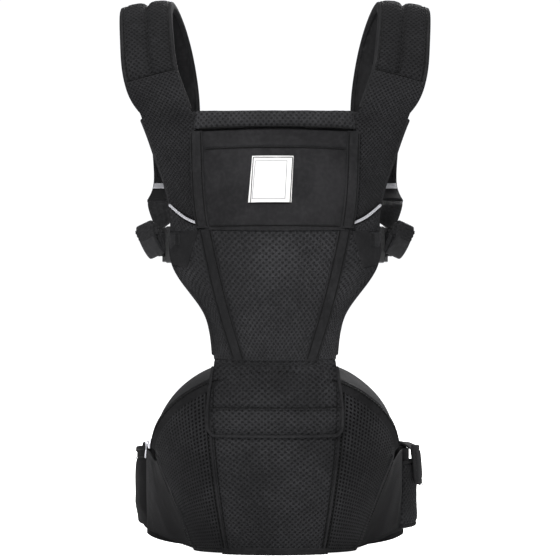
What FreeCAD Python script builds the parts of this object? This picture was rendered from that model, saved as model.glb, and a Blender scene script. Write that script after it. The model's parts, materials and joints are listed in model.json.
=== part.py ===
"""Soft baby carrier with a hip seat: seat block, waist belt, body panel, shoulder straps and buckles.

Millimetres. +Z is up, -Y is the outward side of the carrier, +Y is towards the wearer.
The origin is the centre of the flat underside of the hip seat. The carrier stands as it is worn,
with every buckle closed. Right means +X; left parts are mirror copies where the object is symmetric.
"""

import FreeCAD
import Part

import math
import os
from FreeCAD import Vector

# ---- driving dimensions -------------------------------------------------------------------------
GAP = 0.4            # air between sewn layers, so that every piece stays its own solid
FABRIC = 2.4         # thickness of a spacer-mesh layer
THIN = 1.4           # thickness of a plain woven layer
LINER = 4.0          # padded inner layer of the body panel

WAIST_X = 138.0      # half width of the wearer's waist at the belt
WAIST_Y = 98.0       # half depth of the waist
WAIST_CENTRE_Y = 138.0
BELT_PAD = 10.0      # thickness of the padded belt

FLAP_TOP = 204.0     # fold line between the flap and the body panel
FLAP_BOTTOM = 128.0
PANEL_BOTTOM = 208.0
PANEL_TOP = 462.0
POCKET_BOTTOM = 343.0
POCKET_TOP = 443.0
HEADREST_BOTTOM = 445.5
HEADREST_TOP = 467.0
TRIM_HALF = 6.6      # half width of the plain bands that run down the panel

SIDE_WEB = 25.0      # webbing widths
CHEST_WEB = 20.0
WAIST_WEB = 38.0
WEB = 1.6            # webbing thickness
ROLL_RADIUS = 11.0   # spare webbing rolled up at each side

SIDE_BUCKLE_Z = 328.0
CHEST_Z = 450.0
WAIST_BUCKLE_Z = 62.0

os.makedirs("parts", exist_ok=True)


# ---- small tools --------------------------------------------------------------------------------
def save(name, *solids):
    """Write one node. Every solid in it is checked first."""
    for solid in solids:
        if not solid.isValid() or solid.Volume <= 0:
            raise ValueError(name + " is not a valid solid")
    shape = solids[0] if len(solids) == 1 else Part.makeCompound(list(solids))
    shape.exportStep("parts/" + name + ".step")


def mirror(shape):
    return shape.mirror(Vector(0, 0, 0), Vector(1, 0, 0))


def both_sides(name, solid):
    """Save a right-hand piece and its mirror copy on the left as two nodes."""
    save(name + "_right", solid)
    save(name + "_left", mirror(solid))


def pair(name, solid):
    """Save a small fixed piece and its mirror copy as the two solids of one node."""
    save(name, solid, mirror(solid))


def curve(knots):
    """A smooth function through (position, value) pairs, monotone between its knots."""
    xs = [k[0] for k in knots]
    ys = [k[1] for k in knots]
    slopes = [(ys[i + 1] - ys[i]) / (xs[i + 1] - xs[i]) for i in range(len(xs) - 1)]
    tangents = [slopes[0]]
    for before, after in zip(slopes, slopes[1:]):
        same_way = before * after > 0
        tangents.append(2 * before * after / (before + after) if same_way else 0.0)
    tangents.append(slopes[-1])

    def value(x):
        x = min(max(x, xs[0]), xs[-1])
        i = max(k for k in range(len(xs) - 1) if x >= xs[k])
        span = xs[i + 1] - xs[i]
        t = (x - xs[i]) / span
        a = (2 * t ** 3 - 3 * t ** 2 + 1) * ys[i] + (t ** 3 - 2 * t ** 2 + t) * span * tangents[i]
        b = (3 * t ** 2 - 2 * t ** 3) * ys[i + 1] + (t ** 3 - t ** 2) * span * tangents[i + 1]
        return a + b

    return value


def steps(start, end, count):
    return [start + (end - start) * i / (count - 1) for i in range(count)]


def surface(grid):
    made = Part.BSplineSurface()
    made.interpolate(grid)
    return made


def sheet(front, back):
    """The closed solid between two grids of points that have the same layout."""
    f = surface(front)
    b = surface(back)
    f0, f1, f2, f3 = f.bounds()
    b0, b1, b2, b3 = b.bounds()
    rims = [(f.uIso(f0), b.uIso(b0)), (f.uIso(f1), b.uIso(b1))]
    rims += [(f.vIso(f2), b.vIso(b2)), (f.vIso(f3), b.vIso(b3))]
    faces = [f.toShape(), b.toShape()]
    for p, q in rims:
        strip = Part.makeLoft([Part.Wire(p.toShape()), Part.Wire(q.toShape())], False, True)
        faces += strip.Faces
    shell = Part.makeShell(faces)
    shell.sewShape()
    solid = Part.makeSolid(shell)
    if solid.Volume < 0:
        solid.reverse()
    return solid


def layer(place, us, vs, inner, outer):
    """A fabric layer on a curved surface, between two distances measured outwards from it."""
    return sheet([[place(u, v, outer) for v in vs] for u in us],
                 [[place(u, v, inner) for v in vs] for u in us])


def offset_point(surface_point, u, v, distance, outward):
    """A point at a distance from a surface function, along its normal."""
    step = 1e-3
    here = surface_point(u, v)
    along_u = surface_point(u + step, v) - surface_point(u - step, v)
    along_v = surface_point(u, v + step) - surface_point(u, v - step)
    normal = along_u.cross(along_v)
    normal.normalize()
    if normal.dot(outward(here)) < 0:
        normal = normal.negative()
    return here + normal * distance


def fixed(value):
    """An edge that stays at one value."""
    return lambda _: value


def normal_to(axis, hint):
    """The direction nearest to a hint that is square to an axis."""
    side = hint - axis * hint.dot(axis)
    side.normalize()
    return side


# ---- hip seat -----------------------------------------------------------------------------------
# The zip that joins the front mesh to the top cover lies on a circle in a tilted plane.
ZIP_RADIUS = 128.0
ZIP_TILT = math.radians(42)
ZIP_CENTRE = Vector(0, -2, 109)
ZIP_SWEEP = 88.0         # degrees to each side of the front
FOOT_X = 84.0            # half width of the seat's underside
FOOT_FRONT_Y = -42.0
FOOT_SIDE_Y = 22.0
BELLY_GAP = 1.5
TRIMMED = 0.05           # taken off the block's underside, which leaves it truly flat


def waist_point(angle, z, out=0.0):
    """A point on the waist, angle in degrees from the front, moved outwards by out."""
    a = math.radians(angle)
    return Vector((WAIST_X + out) * math.sin(a), WAIST_CENTRE_Y - (WAIST_Y + out) * math.cos(a), z)


def zip_arc(u, radius=ZIP_RADIUS):
    """The zip line, u from -1 at its left end to 1 at its right end."""
    a = math.radians(ZIP_SWEEP * u)
    reach = radius * math.cos(a)
    return ZIP_CENTRE + Vector(radius * math.sin(a), -reach * math.cos(ZIP_TILT),
                               reach * math.sin(ZIP_TILT))


def seat_front(u, v):
    """Front face of the seat block: u from -1 to 1 across, v from 0 at the bottom to 1 at the zip."""
    a = math.radians(ZIP_SWEEP * u)
    foot = Vector(FOOT_X * math.sin(a), FOOT_SIDE_Y - (FOOT_SIDE_Y - FOOT_FRONT_Y) * math.cos(a), 0)
    arc = zip_arc(u)
    swell = 7.0 * math.sin(math.pi * min(max(v, 0.0), 1.0)) * math.cos(a)
    share = max(v, 0.0) ** 0.9
    return Vector(foot.x + (arc.x - foot.x) * share, foot.y + (arc.y - foot.y) * share - swell,
                  arc.z * v)


def seat_back(u, v):
    """The side of the seat block that faces the belly, just clear of the belt."""
    f = seat_front(u, v)
    out = BELT_PAD + BELLY_GAP
    share = min(1.0, abs(f.x) / (WAIST_X + out))
    rise = 9.0 * v ** 3 * (1 - abs(u) ** 3)
    return Vector(f.x, WAIST_CENTRE_Y - (WAIST_Y + out) * math.sqrt(1 - share ** 2), f.z + rise)


def seat_top(u, t):
    """Top of the seat block: t from 0 at the zip to 1 at the belly."""
    f = seat_front(u, 1.0)
    return f + (seat_back(u, 1.0) - f) * t


def seat_side(v, t):
    """Right side of the seat block: t from 0 at the front to 1 at the belly."""
    f = seat_front(1, v)
    return f + (seat_back(1, v) - f) * t


def seat_front_out(u, v, distance):
    return offset_point(seat_front, u, v, distance, lambda p: Vector(p.x * 0.4, -60, 0))


def seat_top_out(u, t, distance):
    return offset_point(seat_top, u, t, distance, lambda _: Vector(0, 0, 1))


def seat_side_out(v, t, distance):
    return offset_point(seat_side, v, t, distance, lambda _: Vector(1, 0, 0))


def seam(v):
    """Share of the front's half width at which the centre panel is sewn to the side mesh."""
    return 0.41 - 0.09 * v


def front_strip(u_low, u_high, inner, outer, v_low=0.01, v_high=0.985, count=7):
    """Part of the front cover between two edges that are functions of height."""
    grid = []
    for s in steps(0, 1, count):
        grid.append([(u_low(v) + (u_high(v) - u_low(v)) * s, v) for v in steps(v_low, v_high, 8)])
    return sheet([[seat_front_out(u, v, outer) for u, v in row] for row in grid],
                 [[seat_front_out(u, v, inner) for u, v in row] for row in grid])


def build_seat():
    us = steps(-1, 1, 17)
    vs = steps(0, 1, 9)
    core = sheet([[seat_front(u, v) for v in vs] for u in us],
                 [[seat_back(u, v) for v in vs] for u in us])
    core.translate(Vector(0, 0, -TRIMMED))
    save("seat_core", core.cut(Part.makeBox(400, 400, 20, Vector(-200, -200, -20))))
    stitch = 0.005
    cover = GAP + FABRIC
    pair("seat_side_mesh", front_strip(lambda v: seam(v) + stitch, fixed(0.985), GAP, cover))
    save("seat_front_cover", front_strip(lambda v: -seam(v) + stitch, lambda v: seam(v) - stitch,
                                         GAP, cover, count=9))
    piping = front_strip(lambda v: seam(v) - 0.02, lambda v: seam(v) + 0.02, cover + GAP,
                         cover + GAP + THIN, 0.012, 0.95, 3)
    pair("seat_piping", piping)
    save("seat_top_cover", layer(seat_top_out, steps(-0.97, 0.97, 15), steps(0.0, 0.985, 6), GAP,
                                 GAP + THIN))
    pair("side_gusset", layer(seat_side_out, steps(0.08, 0.97, 6), steps(0.03, 0.85, 5), GAP,
                              GAP + THIN))
    # loop tape on the front of the seat that the flap grips
    save("flap_loop_tape", front_strip(fixed(-0.24), fixed(0.24), cover + GAP, cover + GAP + 0.8,
                                       0.70, 0.80, 5))


# ---- zip and its slider -------------------------------------------------------------------------
ZIP_STAND = 3.4          # the tape lies over the edges of both covers
SLIDER_U = -0.97         # where the slider rests, at the left end


def zip_out(u):
    """Direction away from the seat at the zip, in the zip's own plane."""
    away = zip_arc(u) - ZIP_CENTRE
    away.normalize()
    return away


def build_zip():
    normal = Vector(0, math.sin(ZIP_TILT), math.cos(ZIP_TILT))
    rows = []
    for radius in (ZIP_RADIUS + ZIP_STAND + 1.2, ZIP_RADIUS + ZIP_STAND):
        rows.append([[zip_arc(u, radius) + normal * h for h in (-3.5, 0.0, 3.5)]
                     for u in steps(-0.99, 0.99, 19)])
    save("zip_tape", sheet(rows[0], rows[1]))
    here = zip_arc(SLIDER_U, ZIP_RADIUS + ZIP_STAND + 1.2)
    away = zip_out(SLIDER_U)
    along = normal.cross(away)
    along.normalize()
    frame = placed(here + away * 0.3, along, normal)
    body = Part.makeBox(9, 7, 2.6, Vector(-4.5, -3.5, 0))
    body = body.makeFillet(1.0, body.Edges)
    ears = [Part.makeBox(4.4, 1.0, 3.7, Vector(-2.2, y, 2.0)) for y in (-2.0, 1.0)]
    pin = Part.makeCylinder(0.6, 5.0, Vector(0, -2.5, 4.5), Vector(0, 1, 0))
    slider = body.fuse(ears + [pin]).removeSplitter()
    slider.Placement = frame
    save("zip_slider", slider)
    # pull tab: a flat metal bar with an eye around the slider's pin
    tab = Part.makeBox(22.0, 1.7, 1.5, Vector(0, -0.85, -0.75))
    eye = Part.makeCylinder(1.7, 1.7, Vector(0, -0.85, 0), Vector(0, 1, 0))
    grip = Part.makeBox(14.0, 3.8, 1.5, Vector(9.0, -1.9, -0.75))
    grip = grip.makeFillet(0.6, grip.Edges)
    hole = Part.makeCylinder(0.75, 6.0, Vector(0, -3, 0), Vector(0, 1, 0))
    pull = tab.fuse([eye, grip]).cut(hole).removeSplitter()
    pull.Placement = placed(frame.multVec(Vector(0, 0, 4.5)), along.negative(), normal)
    save("zip_pull", pull)


def placed(origin, x_axis, y_axis):
    """Placement of a piece drawn in its own axes: where its origin, x and y directions go."""
    z_axis = x_axis.cross(y_axis)
    m = FreeCAD.Matrix(x_axis.x, y_axis.x, z_axis.x, origin.x,
                       x_axis.y, y_axis.y, z_axis.y, origin.y,
                       x_axis.z, y_axis.z, z_axis.z, origin.z,
                       0, 0, 0, 1)
    return FreeCAD.Placement(m)


# ---- front flap ---------------------------------------------------------------------------------
FLAP_STAND = 6.3         # the flap lies over the zip, this far off the seat
FLAP_THICK = 3.0
flap_half = curve([(128, 60), (132, 66), (144, 67), (204, 63)])


def on_seat(x, z, distance):
    """The point at a distance from the seat's front at a given x and height."""
    u = 0.0
    for _ in range(15):
        share = (z / zip_arc(u).z) ** 0.9
        reach = FOOT_X + (ZIP_RADIUS - FOOT_X) * share
        u = math.degrees(math.asin(x / reach)) / ZIP_SWEEP
    return seat_front_out(u, z / zip_arc(u).z, distance)


def flap_layer(inner, outer, low, high, half, across=9, up=7):
    grid = [[(half(z) * s, z) for z in steps(low, high, up)] for s in steps(-1, 1, across)]
    return sheet([[on_seat(x, z, outer) for x, z in row] for row in grid],
                 [[on_seat(x, z, inner) for x, z in row] for row in grid])


def build_flap():
    save("front_flap", flap_layer(FLAP_STAND, FLAP_STAND + FLAP_THICK, FLAP_BOTTOM, FLAP_TOP,
                                  flap_half))
    save("flap_hook_tape", flap_layer(FLAP_STAND - GAP - 0.8, FLAP_STAND - GAP, 138, 154,
                                      fixed(40.0), 5, 3))


# ---- waist belt ---------------------------------------------------------------------------------
belt_low = curve([(0, 8), (40, 10), (75, 17), (110, 30), (142, 40)])
belt_high = curve([(0, 150), (35, 135), (62, 116), (90, 110), (118, 98), (142, 84)])


def belt_layer(a0, a1, count, inner, outer, low=belt_low, high=belt_high, rows=4):
    grid = [[(a, low(abs(a)) + (high(abs(a)) - low(abs(a))) * t) for t in steps(0, 1, rows)]
            for a in steps(a0, a1, count)]
    return sheet([[waist_point(a, z, outer) for a, z in row] for row in grid],
                 [[waist_point(a, z, inner) for a, z in row] for row in grid])


def build_belt():
    save("belt_belly_pad", belt_layer(-57, 57, 13, 0, BELT_PAD))
    both_sides("belt_wing", belt_layer(57.6, 142, 13, 0, BELT_PAD))
    # the left wing carries a flat zipped pocket, the right wing a gusseted pouch
    pocket_low = curve([(60, 20), (118, 34)])
    pocket_high = curve([(60, 108), (90, 104), (118, 92)])
    out = BELT_PAD + GAP
    pocket = belt_layer(62, 116, 9, out, out + 5.0, pocket_low, pocket_high)
    save("hip_pocket_left", mirror(pocket))
    pouch_low = curve([(60, 18), (118, 24)])
    pouch_high = curve([(60, 92), (118, 90)])
    pouch = belt_layer(62, 116, 9, out, out + 9.0, pouch_low, pouch_high)
    save("pouch_right", pouch)
    # pouch flap hangs over the mouth of the pouch, hinged along its top edge
    flap_low = curve([(70, 66), (108, 66)])
    flap_high = curve([(70, 108), (108, 104)])
    save("pouch_flap", belt_layer(72, 106, 7, out + 9.0 + GAP, out + 9.0 + GAP + 2.4,
                                  flap_low, flap_high))
    webbing = waist_strip(140.5, 172.0, 9, BELT_PAD + GAP, BELT_PAD + GAP + WEB)
    longer = waist_strip(140.5, 173.5, 9, BELT_PAD + GAP, BELT_PAD + GAP + WEB)
    save("belt_webbing", mirror(webbing), longer)
    # the woven band along the lower edge of the belt
    pair("belt_base_band", belt_layer(34, 74, 7, 2, 8, lambda a: belt_low(a) - 8,
                                      lambda a: belt_low(a) - 1, 3))


def waist_strip(a0, a1, count, inner, outer):
    half = WAIST_WEB / 2
    z0 = curve([(a0, WAIST_BUCKLE_Z - half), (a1, WAIST_BUCKLE_Z - half)])
    z1 = curve([(a0, WAIST_BUCKLE_Z + half), (a1, WAIST_BUCKLE_Z + half)])
    return belt_layer(a0, a1, count, inner, outer, z0, z1, 3)


# ---- body panel ---------------------------------------------------------------------------------
panel_edge = curve([(208, 62), (238, 64), (256, 69), (272, 79), (289, 92), (306, 102), (345, 104),
                    (368, 106), (390, 111), (420, 122), (445, 131.5), (467, 141)])
panel_y = curve([(208, -104), (260, -113), (320, -113), (380, -104), (440, -90), (467, -83)])
panel_wrap = curve([(208, 28), (256, 58), (306, 60), (345, 62), (380, 49), (420, 28), (467, 13)])
trim_x = curve([(207, 36), (270, 52), (346, 68), (400, 75), (445, 79)])


def panel_at(x, z):
    return Vector(x, panel_y(z) + panel_wrap(z) * abs(x / 104.0) ** 2.2, z)


def panel_out(x, z, distance):
    return offset_point(panel_at, x, z, distance, lambda p: Vector(0, -1, 0))


def panel_layer(x_low, x_high, z_low, z_high, inner, outer, across=9, up=14):
    """A layer between two x edges (functions of z) and two z edges (functions of the share across)."""
    grid = []
    for s in steps(0, 1, across):
        row = []
        for t in steps(0, 1, up):
            z = z_low(s) + (z_high(s) - z_low(s)) * t
            row.append((x_low(z) + (x_high(z) - x_low(z)) * s, z))
        grid.append(row)
    return sheet([[panel_out(x, z, outer) for x, z in row] for row in grid],
                 [[panel_out(x, z, inner) for x, z in row] for row in grid])


PIPE_LOW = 348.0     # where the reflective piping leaves the plain band
PIPE_RISE = 20.0     # how much higher it is at the panel's side edge


def build_panel():
    outer = LINER + 2 * GAP
    edge = 1.5
    save("panel_liner", panel_layer(lambda z: -panel_edge(z) + edge, lambda z: panel_edge(z) - edge,
                                    fixed(PANEL_BOTTOM), fixed(PANEL_TOP), 0, LINER, 21, 20))
    save("centre_mesh", panel_layer(lambda z: -trim_x(z) + GAP, lambda z: trim_x(z) - GAP,
                                    fixed(PANEL_BOTTOM), fixed(POCKET_BOTTOM - 1), outer,
                                    outer + FABRIC, 11, 12))
    save("stowed_hood", panel_layer(lambda z: -trim_x(z) + 9, lambda z: trim_x(z) - 9,
                                    fixed(POCKET_BOTTOM + 4), fixed(POCKET_TOP - 4), outer,
                                    outer + 4.0, 7, 6))
    save("hood_pocket", panel_layer(lambda z: -trim_x(z) + GAP, lambda z: trim_x(z) - GAP,
                                    fixed(POCKET_BOTTOM), fixed(POCKET_TOP), outer + 4.0 + GAP,
                                    outer + 4.0 + GAP + THIN, 7, 6))
    pocket_face = outer + 4.0 + GAP + THIN + GAP
    save("label_patch", panel_layer(fixed(-20.5), fixed(20.5), fixed(368.5), fixed(416.5),
                                    pocket_face, pocket_face + 0.8, 4, 4))
    pair("side_mesh", panel_layer(lambda z: trim_x(z) + GAP, panel_edge,
                                        lambda s: PIPE_LOW + 1 + PIPE_RISE * s, fixed(PANEL_TOP),
                                        outer, outer + FABRIC))
    both_sides("buckle_wing", panel_layer(lambda z: trim_x(z) + GAP, panel_edge,
                                          fixed(PANEL_BOTTOM), lambda s: PIPE_LOW + PIPE_RISE * s,
                                          outer, outer + FABRIC))
    band = outer + FABRIC + GAP
    pair("reflective_piping", panel_layer(lambda z: trim_x(z) + TRIM_HALF + GAP,
                                                lambda z: panel_edge(z) - 1,
                                                lambda s: PIPE_LOW + 1 + PIPE_RISE * s,
                                                lambda s: PIPE_LOW + 5 + PIPE_RISE * s,
                                                band, band + THIN, 5, 3))
    upper = band + 4.0
    for name, low, high, start in (("lower", PANEL_BOTTOM, POCKET_BOTTOM - 1, band),
                                   ("upper", POCKET_BOTTOM, POCKET_TOP, upper)):
        pair("trim_" + name, panel_layer(lambda z: trim_x(z) - TRIM_HALF,
                                               lambda z: trim_x(z) + TRIM_HALF, fixed(low),
                                               fixed(high), start, start + THIN, 4, 6))
    save("headrest", panel_layer(lambda z: -79.0, lambda z: 79.0, fixed(HEADREST_BOTTOM),
                                 fixed(HEADREST_TOP), outer, outer + 11.0, 11, 4))


# ---- shoulder straps ----------------------------------------------------------------------------
# centre of the strap from the panel corner, over the shoulder and down the back, to its end
STRAP_PATH = [
    (113, -71, 465), (128, -66, 498), (135, -46, 542), (136, -4, 579), (124, 42, 556),
    (114, 76, 508), (110, 87, 464), (112, 87, 424), (117, 68, 395), (126, 30, 375),
]
strap_half = curve([(0, 28), (0.1, 28.5), (0.2, 28), (0.55, 28), (0.78, 24), (0.9, 15), (1, 12.5)])
strap_thick = curve([(0, 7), (0.12, 12), (0.25, 16), (0.6, 15), (0.85, 11), (1, 6)])
STRAP_BASE_END = 0.095     # shares of the strap's length
STRAP_PAD_END = 0.89
strap_curve = Part.BSplineCurve()
strap_curve.interpolate([Vector(*p) for p in STRAP_PATH])
STRAP_LENGTH = strap_curve.length()


def strap_frame(share):
    """Centre, direction across and outward direction at a share of the strap's length."""
    t = strap_curve.parameterAtDistance(STRAP_LENGTH * share, strap_curve.FirstParameter)
    ahead = Vector(*strap_curve.tangent(t)[0])
    side = normal_to(ahead, Vector(1, 0, -0.12))
    turn = min(1.0, share / STRAP_BASE_END)
    side = Vector(1, 0.29, 0) * (1 - turn) + side * turn
    side.normalize()
    out = side.cross(ahead)
    out.normalize()
    return strap_curve.value(t), side, out


def strap_point(share, across, depth):
    """A point of the strap: across is a share of its half width, depth is in millimetres outwards."""
    centre, side, out = strap_frame(share)
    return centre + side * (strap_half(share) * across) + out * depth


def strap_sheet(start, end, stations, across=(-1, -0.5, 0, 0.5, 1), crown=0.3):
    """The padded strap itself, thickest along its middle."""
    shares = steps(start, end, stations)
    halves = [[strap_thick(s) / 2 * (1 - crown * a ** 2) for a in across] for s in shares]
    front = [[strap_point(s, a, h) for a, h in zip(across, row)] for s, row in zip(shares, halves)]
    back = [[strap_point(s, a, -h) for a, h in zip(across, row)] for s, row in zip(shares, halves)]
    return sheet(front, back)


def build_straps():
    sewn = 0.0012
    pair("strap_base", strap_sheet(0, STRAP_BASE_END - sewn, 4))
    both_sides("shoulder_pad", strap_sheet(STRAP_BASE_END + sewn, STRAP_PAD_END - sewn, 15))
    pair("strap_end", strap_sheet(STRAP_PAD_END + sewn, 1, 4))


# ---- side-release buckles -----------------------------------------------------------------------
# Drawn with the plug entering along +x, the webbing's width along y and the outer face up +z.
BUCKLE_HALF = 4.5        # half thickness of the socket
BUCKLE_WALL = 2.5
PLUG_HALF = 3.6
PRONG_ROOT = 1.6         # radius of the round root each prong swings on
CATCH_GAP = 0.4          # between a prong at rest and the wall of the socket


def block(x0, x1, y_half, z_half, fillet=0.0):
    made = Part.makeBox(x1 - x0, 2 * y_half, 2 * z_half, Vector(x0, -y_half, -z_half))
    return made.makeFillet(fillet, made.Edges) if fillet else made


def post(x, y, radius, half):
    return Part.makeCylinder(radius, 2 * half, Vector(x, y, -half))


def socket_half(web):
    return web / 2 + 7.0


def buckle_socket(web):
    half = socket_half(web)
    body = block(0, 30, half, BUCKLE_HALF, 1.4)
    cavity = block(-1, 21, half - BUCKLE_WALL, 3.0)
    windows = block(6, 16, half + 1, 3.0)
    slot = block(23.2, 26.6, web / 2 + 0.8, 6)
    return body.cut(cavity).cut(windows).cut(slot)


def prong_root_y(web):
    return socket_half(web) - BUCKLE_WALL - CATCH_GAP - PRONG_ROOT


def buckle_plug(web):
    half = socket_half(web) - 1.0
    ladder = block(-15, -1, half, PLUG_HALF, 1.2)
    body = ladder.fuse(block(-2, 17, 3.0, 1.9, 0.8))
    for x in (-12.6, -7.4):
        body = body.cut(block(x, x + 2.8, web / 2 + 0.8, 6))
    for side in (-1, 1):
        y = side * prong_root_y(web)
        body = body.cut(post(-0.9, y, PRONG_ROOT + 0.25, 6))
    return body.removeSplitter()


def buckle_prong(web):
    """The upper prong: an arm with a rounded hook, swinging on the root at its end."""
    y = prong_root_y(web)
    reach = y + PRONG_ROOT
    outline = [(-0.9, y - 1.2), (6, y - 1.6), (13, y - 3.4), (18.2, y - 2.6), (19.2, y - 0.6),
               (15.5, reach), (9, reach), (6.5, reach - 1.4), (2, reach - 1.0), (-0.9, y + 1.2)]
    points = [Vector(px, py, -2.3) for px, py in outline]
    arm = Part.Face(Part.makePolygon(points + points[:1])).extrude(Vector(0, 0, 4.6))
    return arm.fuse(post(-0.9, y, PRONG_ROOT, 2.3)).removeSplitter()


def flip(shape):
    return shape.mirror(Vector(0, 0, 0), Vector(0, 1, 0))


def put(shape, place):
    moved = shape.copy()
    moved.Placement = place.multiply(moved.Placement)
    return moved


# The side buckles lie along the curve of the panel's edge, outer face to the side.
SIDE_MOUTH = Vector(112, -18, SIDE_BUCKLE_Z)
SIDE_INTO = Vector(-0.35, -0.9367, 0)
WAIST_MOUTH = Vector(8, 235.6, WAIST_BUCKLE_Z)
CHEST_MOUTH = Vector(8, 99.4, CHEST_Z)
side_place = placed(SIDE_MOUTH, SIDE_INTO, Vector(0, 0, -1))
waist_place = placed(WAIST_MOUTH, Vector(-1, 0, 0), Vector(0, 0, 1))
chest_place = placed(CHEST_MOUTH, Vector(-1, 0, 0), Vector(0, 0, 1))


def build_buckles():
    for where, web, place in (("waist", WAIST_WEB, waist_place), ("chest", CHEST_WEB, chest_place)):
        save(where + "_socket", put(buckle_socket(web), place))
        save(where + "_plug", put(buckle_plug(web), place))
        save(where + "_prong_upper", put(buckle_prong(web), place))
        save(where + "_prong_lower", put(flip(buckle_prong(web)), place))
    both_sides("side_socket", put(buckle_socket(SIDE_WEB), side_place))
    both_sides("side_plug", put(buckle_plug(SIDE_WEB), side_place))
    both_sides("side_prong_upper", put(flip(buckle_prong(SIDE_WEB)), side_place))
    both_sides("side_prong_lower", put(buckle_prong(SIDE_WEB), side_place))


# ---- webbing ------------------------------------------------------------------------------------
def ribbon(stations, width, thickness):
    """Flat webbing through stations of (centre, direction across, outward direction)."""
    front = []
    back = []
    for centre, across, out in stations:
        row = [centre + across * (width / 2 * s) for s in (-1, 0, 1)]
        front.append([p + out * (thickness / 2) for p in row])
        back.append([p - out * (thickness / 2) for p in row])
    return sheet(front, back)


def build_webbing():
    outward = SIDE_INTO.cross(Vector(0, 0, -1))
    up = Vector(0, 0, 1)
    skim = BUCKLE_HALF + GAP + WEB / 2
    # from the edge of the wing to the back bar of the socket
    anchor = [(side_place.multVec(Vector(x, 0, skim)), up, outward) for x in (24.0, 28.0, 32.0)]
    pair("side_anchor", ribbon(anchor, SIDE_WEB, WEB))
    # at the end of the strap, and again over the plug's ladder: between the two it hangs free
    end, across, out = strap_frame(1.0)
    ahead = out.cross(across)
    tail = ribbon([(end + ahead * s, across, out) for s in (0.8, 6.0, 12.0)], SIDE_WEB, WEB)
    over = [(side_place.multVec(Vector(x, 0, skim)), up, outward) for x in (-19.0, -13.0, -7.0)]
    over = ribbon(over, SIDE_WEB, WEB)
    save("strap_tail", tail, over, mirror(tail), mirror(over))
    # the rest of the webbing, rolled up outside the plug
    centre = side_place.multVec(Vector(-8, -6, skim + ROLL_RADIUS + 3))
    pair("webbing_roll", Part.makeCylinder(ROLL_RADIUS, SIDE_WEB, centre - up * (SIDE_WEB / 2), up))


def build_strap_trim():
    """The rail that carries the chest strap and the reflective strip near the strap's end."""
    x, y = RAIL_AT
    rail = Part.makeCylinder(RAIL_RADIUS, RAIL_HIGH - RAIL_LOW, Vector(x, y, RAIL_LOW))
    for z in (RAIL_LOW - 3, RAIL_HIGH - 3):
        foot = Part.makeBox(13, 4.4, 6, Vector(x - 6.5, y - 2.6, z))
        rail = rail.fuse(foot.makeFillet(1.2, foot.Edges))
    pair("strap_rail", rail.removeSplitter())
    shares = steps(0.915, 0.933, 3)
    across = (-0.9, 0, 0.9)
    depth = [-strap_thick(s) / 2 - GAP for s in shares]
    inner = [[strap_point(s, a, d) for a in across] for s, d in zip(shares, depth)]
    outer = [[strap_point(s, a, d - 0.8) for a in across] for s, d in zip(shares, depth)]
    pair("strap_reflector", sheet(outer, inner))


# ---- chest strap --------------------------------------------------------------------------------
RAIL_AT = (109.0, 100.5)
RAIL_RADIUS = 1.5
RAIL_LOW = 414.0
RAIL_HIGH = 486.0


def build_chest_strap():
    x, y = RAIL_AT
    slider = Part.makeBox(17, 7, 18, Vector(x - 10, y - 3.5, CHEST_Z - 9))
    slider = slider.makeFillet(1.4, slider.Edges)
    bore = Part.makeCylinder(RAIL_RADIUS + 0.4, 30, Vector(x, y, CHEST_Z - 15))
    pair("chest_slider", slider.cut(bore))
    z0 = CHEST_Z - CHEST_WEB / 2
    face = y + 3.5 + GAP
    left = Part.makeBox(87, WEB, CHEST_WEB, Vector(-104, face, z0))
    right = Part.makeBox(90, WEB, CHEST_WEB, Vector(14, face, z0))
    save("chest_webbing", left, right)


# ---- assemble -----------------------------------------------------------------------------------
if __name__ == "__main__":
    build_seat()
    build_zip()
    build_flap()
    build_belt()
    build_panel()
    build_straps()
    build_buckles()
    build_webbing()
    build_strap_trim()
    build_chest_strap()
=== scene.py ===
"""Soft baby carrier with a hip seat: cloth, padding, webbing, stitching and finish.

Shapes are worked out in millimetres in the frame's own axes and written in metres.
"""

import json
import math

import bpy
import numpy as np
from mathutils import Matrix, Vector
from mathutils.bvhtree import BVHTree
from mathutils.kdtree import KDTree


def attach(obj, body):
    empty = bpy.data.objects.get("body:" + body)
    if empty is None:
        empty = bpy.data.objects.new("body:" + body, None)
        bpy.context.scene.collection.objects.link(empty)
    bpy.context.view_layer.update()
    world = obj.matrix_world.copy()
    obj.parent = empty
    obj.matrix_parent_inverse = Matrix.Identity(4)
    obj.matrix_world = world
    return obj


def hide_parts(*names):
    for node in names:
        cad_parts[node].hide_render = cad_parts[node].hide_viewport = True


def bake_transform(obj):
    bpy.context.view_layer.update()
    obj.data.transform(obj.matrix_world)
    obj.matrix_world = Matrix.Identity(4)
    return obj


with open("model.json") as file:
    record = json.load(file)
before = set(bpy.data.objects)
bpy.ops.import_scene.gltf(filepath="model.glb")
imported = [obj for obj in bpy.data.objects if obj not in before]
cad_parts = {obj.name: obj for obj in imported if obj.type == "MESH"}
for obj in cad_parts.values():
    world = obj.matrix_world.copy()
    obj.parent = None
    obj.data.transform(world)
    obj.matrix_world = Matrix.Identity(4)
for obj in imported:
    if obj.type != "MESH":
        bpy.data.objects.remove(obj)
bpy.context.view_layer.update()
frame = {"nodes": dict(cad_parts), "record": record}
MM = 0.001
UV_PER_MM, MM_PER_UV = 0.01, 100.0
SIDES = ((1, "right"), (-1, "left"))
FORWARD = (0, -1, 0)

# ---- numbers shared with the frame --------------------------------------------------------------
ZIP_RADIUS, ZIP_TILT, ZIP_SWEEP = 128.0, math.radians(42), 88.0
ZIP_CENTRE = np.array([0.0, -2.0, 109.0])
FOOT_X, FOOT_FRONT_Y, FOOT_SIDE_Y = 84.0, -42.0, 22.0
WAIST_X, WAIST_Y, WAIST_CENTRE_Y, BELT_PAD = 138.0, 98.0, 138.0, 10.0
FACE = 4.8
SIDE_Z, CHEST_Z, WAIST_Z = 328.0, 450.0, 62.0


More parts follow.
